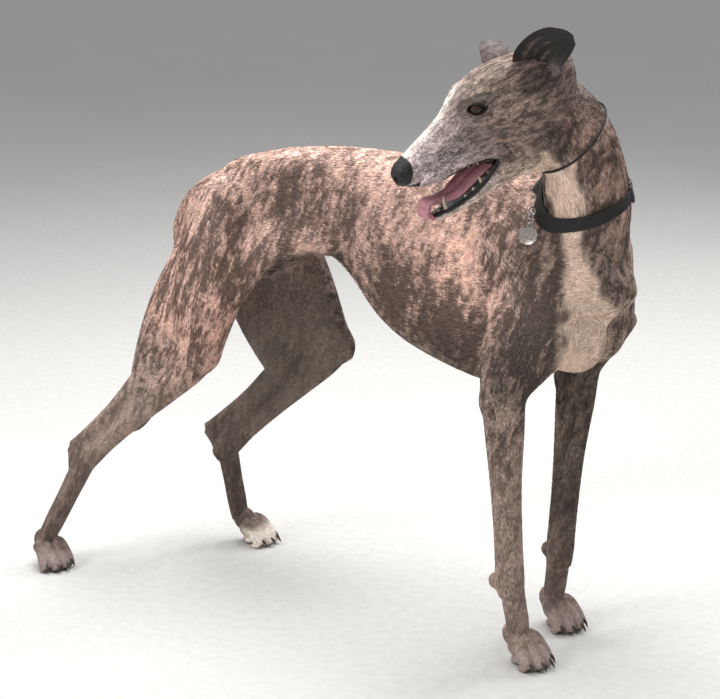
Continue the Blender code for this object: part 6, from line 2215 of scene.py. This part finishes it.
def cord(tree, count=240):
    """Three strands twisted into one thin cord that lies round the neck behind the jaw."""
    where = ring_frame(SLIP_CENTRE, SLIP_NORMAL)
    reach = reach_round(tree, where, [0.0] * count) + SLIP_RADIUS + COAT_DEPTH + GAP + 0.0003
    strands, twists, sides = 3, 46, 8
    made = []
    for strand in range(strands):
        columns = []
        for k in range(count):
            angle = 2 * math.pi * k / count
            phase = twists * angle + 2 * math.pi * strand / strands
            way = np.array((math.cos(angle), math.sin(angle), 0))
            up = np.array((0, 0, 1.0))
            centre = way * (reach[k] + 0.0009 * math.cos(phase)) + up * 0.0009 * math.sin(phase)
            column = []
            for j in range(sides):
                turn = 2 * math.pi * j / sides
                column.append(centre + (way * math.cos(turn) + up * math.sin(turn)) * 0.00105)
            columns.append(column)
        mesh = grid_band("strand", columns)
        mesh.transform(where)
        made.append(new_object("strand", mesh))
    return joined("slip_cord", made)


def torus(name, centre, major, minor, turn, segments=48, sides=14):
    columns = []
    for k in range(segments):
        angle = 2 * math.pi * k / segments
        way = np.array((math.cos(angle), math.sin(angle), 0))
        column = []
        for j in range(sides):
            round_angle = 2 * math.pi * j / sides
            out = way * (major + minor * math.cos(round_angle))
            column.append(out + np.array((0, 0, minor * math.sin(round_angle))))
        columns.append(column)
    mesh = grid_band(name, columns)
    matrix = Matrix.Translation(centre)
    for angle, axis in zip(turn, "XYZ"):
        matrix = matrix @ Matrix.Rotation(math.radians(angle), 4, axis)
    mesh.transform(matrix)
    return new_object(name, mesh)


TAG_CENTRE = (0.0283, -0.0825, 0.6192)
TAG_NORMAL = (0.184, -0.852, 0.491)
TAG_RADIUS = 0.0130
TAG_THICKNESS = 0.0013
TAG_LUG = (0.0154, 0.0032, 0.0009)
SPLIT_RING = (0.0205, 0.0052, 0.0008)
HOOK_RING = (0.0281, 0.0045, 0.0010)
COLLAR_RING = (0.0352, 0.0060, 0.0011)


def tag_pieces():
    """Tag and rings in the tag's own plane: x across, y up the chest, z out from it."""
    normal = Vector(TAG_NORMAL).normalized()
    up = (Vector((0, 0, 1)) - normal * normal.z).normalized()
    matrix = Matrix((up.cross(normal), up, normal)).transposed().to_4x4()
    matrix.translation = Vector(TAG_CENTRE)
    bm = bmesh.new()
    rings = []
    profile = [(0.0, -0.5), (0.86, -0.5), (0.97, -0.85), (1.0, 0.0), (0.97, 0.85), (0.90, 0.80), (0.84, 0.42), (0.0, 0.36)]
    for share, level in profile[1:-1]:
        ring = []
        for k in range(64):
            angle = 2 * math.pi * k / 64
            radius = TAG_RADIUS * share
            dent = 0.00012 * math.sin(3 * angle + 1)
            ring.append(bm.verts.new((radius * math.cos(angle), radius * math.sin(angle), TAG_THICKNESS * level + dent)))
        rings.append(ring)
    skin_rings(bm, rings)
    plate = mesh_from("tag_plate", bm)
    lug = torus("lug", (0, TAG_LUG[0], 0), TAG_LUG[1], TAG_LUG[2], (0, 0, 0))
    made = {"tag": joined("tag_disc", [plate, lug])}
    rings = [
        torus("coil", (0, SPLIT_RING[0], 0.0008 + 0.0005 * k), SPLIT_RING[1], SPLIT_RING[2] * 0.62, (0, 55, 0))
        for k in (-1, 1)
    ]
    made["tag_ring"] = joined("tag_split_ring", rings)
    made["tag_hook"] = torus("tag_link", (0, HOOK_RING[0], 0.0008), HOOK_RING[1], HOOK_RING[2], (0, -35, 0))
    made["collar_ring"] = torus("collar_loop", (0, COLLAR_RING[0], 0.0008), COLLAR_RING[1], COLLAR_RING[2], (0, 55, 0))
    for obj in made.values():
        obj.data.transform(matrix)
    return made


def buckle(reach):
    """A side-release clasp on the outside of the strap: two halves, a seam and side tongues."""
    where = ring_frame(COLLAR_CENTRE, COLLAR_NORMAL) @ Matrix.Rotation(math.radians(BUCKLE_ANGLE), 4, "Z")
    length, height, thick = BUCKLE
    base = reach + COLLAR_THICKNESS
    made = [
        block("half", (base - thick, -length / 2, -height / 2 + 0.001), (base + 0.0012, -0.0005, height / 2 - 0.001), where, 0.0009),
        block("half", (base - thick, 0.0005, -height / 2), (base + 0.0016, length / 2, height / 2), where, 0.0009),
        block("bar", (base - thick, -length / 2 - 0.002, -height / 2 + 0.0005), (base + 0.0004, -length / 2 + 0.001, height / 2 - 0.0005), where, 0.0006),
        block("tongue", (base - thick + 0.0006, -0.003, -height / 2 - 0.0008), (base + 0.0004, 0.006, height / 2 + 0.0008), where, 0.0007),
    ]
    return joined("collar_clasp", made)


# Putting it together


def shift_to_model():
    low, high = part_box("eye_left")
    middle = (Vector(low) + Vector(high)) / 2
    return Matrix.Translation(middle - eye_matrix(1).translation)


SHIFT = shift_to_model()


def place(obj, material, slot, nodes=(), smooth=True, angle=None, root=True):
    """Moves a finished piece into the model, gives it its look and hides the parts of the model that it stands for."""
    if root and "root" not in obj.data.attributes:
        put_vector(obj.data, "root", coordinates(obj.data))
    obj.data.transform(SHIFT)
    obj.data.materials.clear()
    obj.data.materials.append(material)
    if smooth:
        obj.data.shade_smooth()
        if angle is not None:
            obj.data.set_sharp_from_angle(angle=math.radians(angle))
    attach(obj, "root")
    if nodes:
        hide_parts(*nodes)
    return obj


def dog():
    skin = Skin()
    skin.bare_round(COLLAR_CENTRE, COLLAR_NORMAL, COLLAR_WIDTH * 0.52)
    skin.bare_round(SLIP_CENTRE, SLIP_NORMAL, 0.0026)
    mesh = skin.mesh
    for key in ("tint", "mark", "where"):
        put_vector(mesh, key, getattr(skin, key))
    put_number(mesh, "dusk", skin.dusk)
    put_vector(mesh, "root", skin.points)
    put_number(mesh, "shade", np.full(len(skin.points), 0.42))
    unwrap(skin.obj)
    coat = coat_look()
    bm = bmesh.new()
    bm.from_mesh(mesh)
    tree = BVHTree.FromBMesh(bm)
    bm.free()
    hair = tufts(skin)
    flesh = ["torso", "neck", "head", "lower_jaw", "tail_root", "tail_tip"]
    for end in ("right", "left"):
        flesh += [f"foreleg_{end}", f"hindleg_{end}", f"forepaw_{end}", f"hindpaw_{end}"]
    band, reach, low, high = strap(tree)
    feelers = whiskers(tree)
    place(skin.obj, coat, "coat", flesh)
    for piece in hair:
        place(piece, coat, "coat", smooth=False)
    ink = wet_look("lid_look", (0.006, 0.005, 0.005), (0.016, 0.013, 0.013), 420.0, 0.60, 0.4, 0.0004, 0.18)
    pink = wet_look("tongue_look", (0.44, 0.16, 0.19), (0.58, 0.29, 0.33), 520.0, 0.30, 0.55, 0.0004)
    for side, name in ((1, "left"), (-1, "right")):
        place(eye(side, "eyeball_" + name), eye_look(), "eye_glass", ["eye_" + name])
        rims = lids(side)
        rims.name = "eyelid_rims_" + name
        place(rims, ink, "nose_leather")
        folds = lid_folds(side)
        folds.name = "eyelids_" + name
        place(folds, coat, "coat")
    place(ear("ear_flap_left", EAR_LEFT, 1), ear_look(), "ear_coat", ["ear_left"])
    place(ear("ear_flap_right", EAR_RIGHT, -1), ear_look(), "ear_coat", ["ear_right"])
    place(nose(), nose_look(), "nose_leather", ["nose"])
    place(tongue(), pink, "tongue_flesh", ["tongue"])
    place(teeth(), tooth_look(), "eye_glass")
    # Near black lining: painted shade inside the mouth over the gums' own dark colour.
    gums_and_mouth_shade = wet_look("gum_and_mouth_shade_look", (0.010, 0.005, 0.006), (0.040, 0.014, 0.016), 300.0, 0.35, 0.4, 0.0005, 0.3)
    place(mouth_lining(), gums_and_mouth_shade, "tongue_flesh")
    place(claws(), horn_look(), "nose_leather")
    place(feelers, worn_look("whisker_look", (0.02, 0.017, 0.016), (0.05, 0.045, 0.04), 0.4, 0.0), "ear_coat")
    web = webbing_look()
    place(band, web, "webbing", ["collar"])
    place(stitches(low, high), worn_look("thread_look", (0.02, 0.018, 0.017), (0.045, 0.04, 0.036), 0.7, 0.0), "webbing")
    place(cord(tree), worn_look("cord_look", (0.007, 0.006, 0.006), (0.030, 0.027, 0.025), 0.62, 0.0, 700.0), "webbing", ["slip_collar"])
    hard = worn_look("clasp_look", (0.014, 0.013, 0.013), (0.030, 0.028, 0.027), 0.42, 0.0)
    place(buckle(reach), hard, "plastic", ["buckle"], angle=35)
    steel = worn_look("steel_look", (0.46, 0.45, 0.43), (0.66, 0.65, 0.62), 0.30, 1.0)
    for node, piece in tag_pieces().items():
        place(piece, steel, "tag_steel", [node], angle=40)


# Floor, light and camera


def stage():
    bm = bmesh.new()
    bmesh.ops.create_circle(bm, cap_ends=True, radius=30, segments=96)
    floor = mesh_from("floor", bm)
    floor.data.materials.append(floor_look())
    world = bpy.data.worlds.new("studio")
    bpy.context.scene.world = world
    world.use_nodes = True
    ground = world.node_tree.nodes["Background"]
    ground.inputs["Color"].default_value = (0.86, 0.88, 0.90, 1.0)
    ground.inputs["Strength"].default_value = 0.50
    lamps = [
        ("top", (-0.2, 0.2, 3.0), (0.0, 0.0, 0.4), 2.6, 105.0),
        ("key", (-1.5, -3.0, 2.4), (0.0, 0.0, 0.5), 1.4, 58.0),
        ("rim", (1.0, 2.8, 2.6), (0.0, 0.0, 0.5), 1.4, 42.0),
    ]
    for name, position, aim, size, power in lamps:
        data = bpy.data.lights.new(name, "AREA")
        data.shape = "DISK"
        data.size = size
        data.energy = power
        lamp = bpy.data.objects.new(name, data)
        bpy.context.scene.collection.objects.link(lamp)
        lamp.location = position
        lamp.rotation_mode = "QUATERNION"
        lamp.rotation_quaternion = (Vector(aim) - Vector(position)).to_track_quat("-Z", "Y")


CAMERA_AT = (1.0604, -2.1307, 1.0482)
CAMERA_FORWARD = (-0.5188, 0.8180, -0.2484)
CAMERA_RIGHT = (0.8446, 0.5355, -0.0007)
CAMERA_LENS = 86.55


def camera():
    forward = Vector(CAMERA_FORWARD).normalized()
    right = Vector(CAMERA_RIGHT)
    right = (right - forward * right.dot(forward)).normalized()
    up = right.cross(forward)
    data = bpy.data.cameras.new("camera")
    data.lens = CAMERA_LENS
    data.sensor_width = 36.0
    data.clip_start = 0.05
    data.clip_end = 200.0
    obj = bpy.data.objects.new("camera", data)
    bpy.context.scene.collection.objects.link(obj)
    matrix = Matrix((right, up, -forward)).transposed().to_4x4()
    matrix.translation = SHIFT @ Vector(CAMERA_AT)
    obj.matrix_world = matrix
    bpy.context.scene.camera = obj


dog()
stage()
camera()
bpy.context.scene.view_settings.view_transform = "Standard"
bpy.context.scene.view_settings.look = "None"
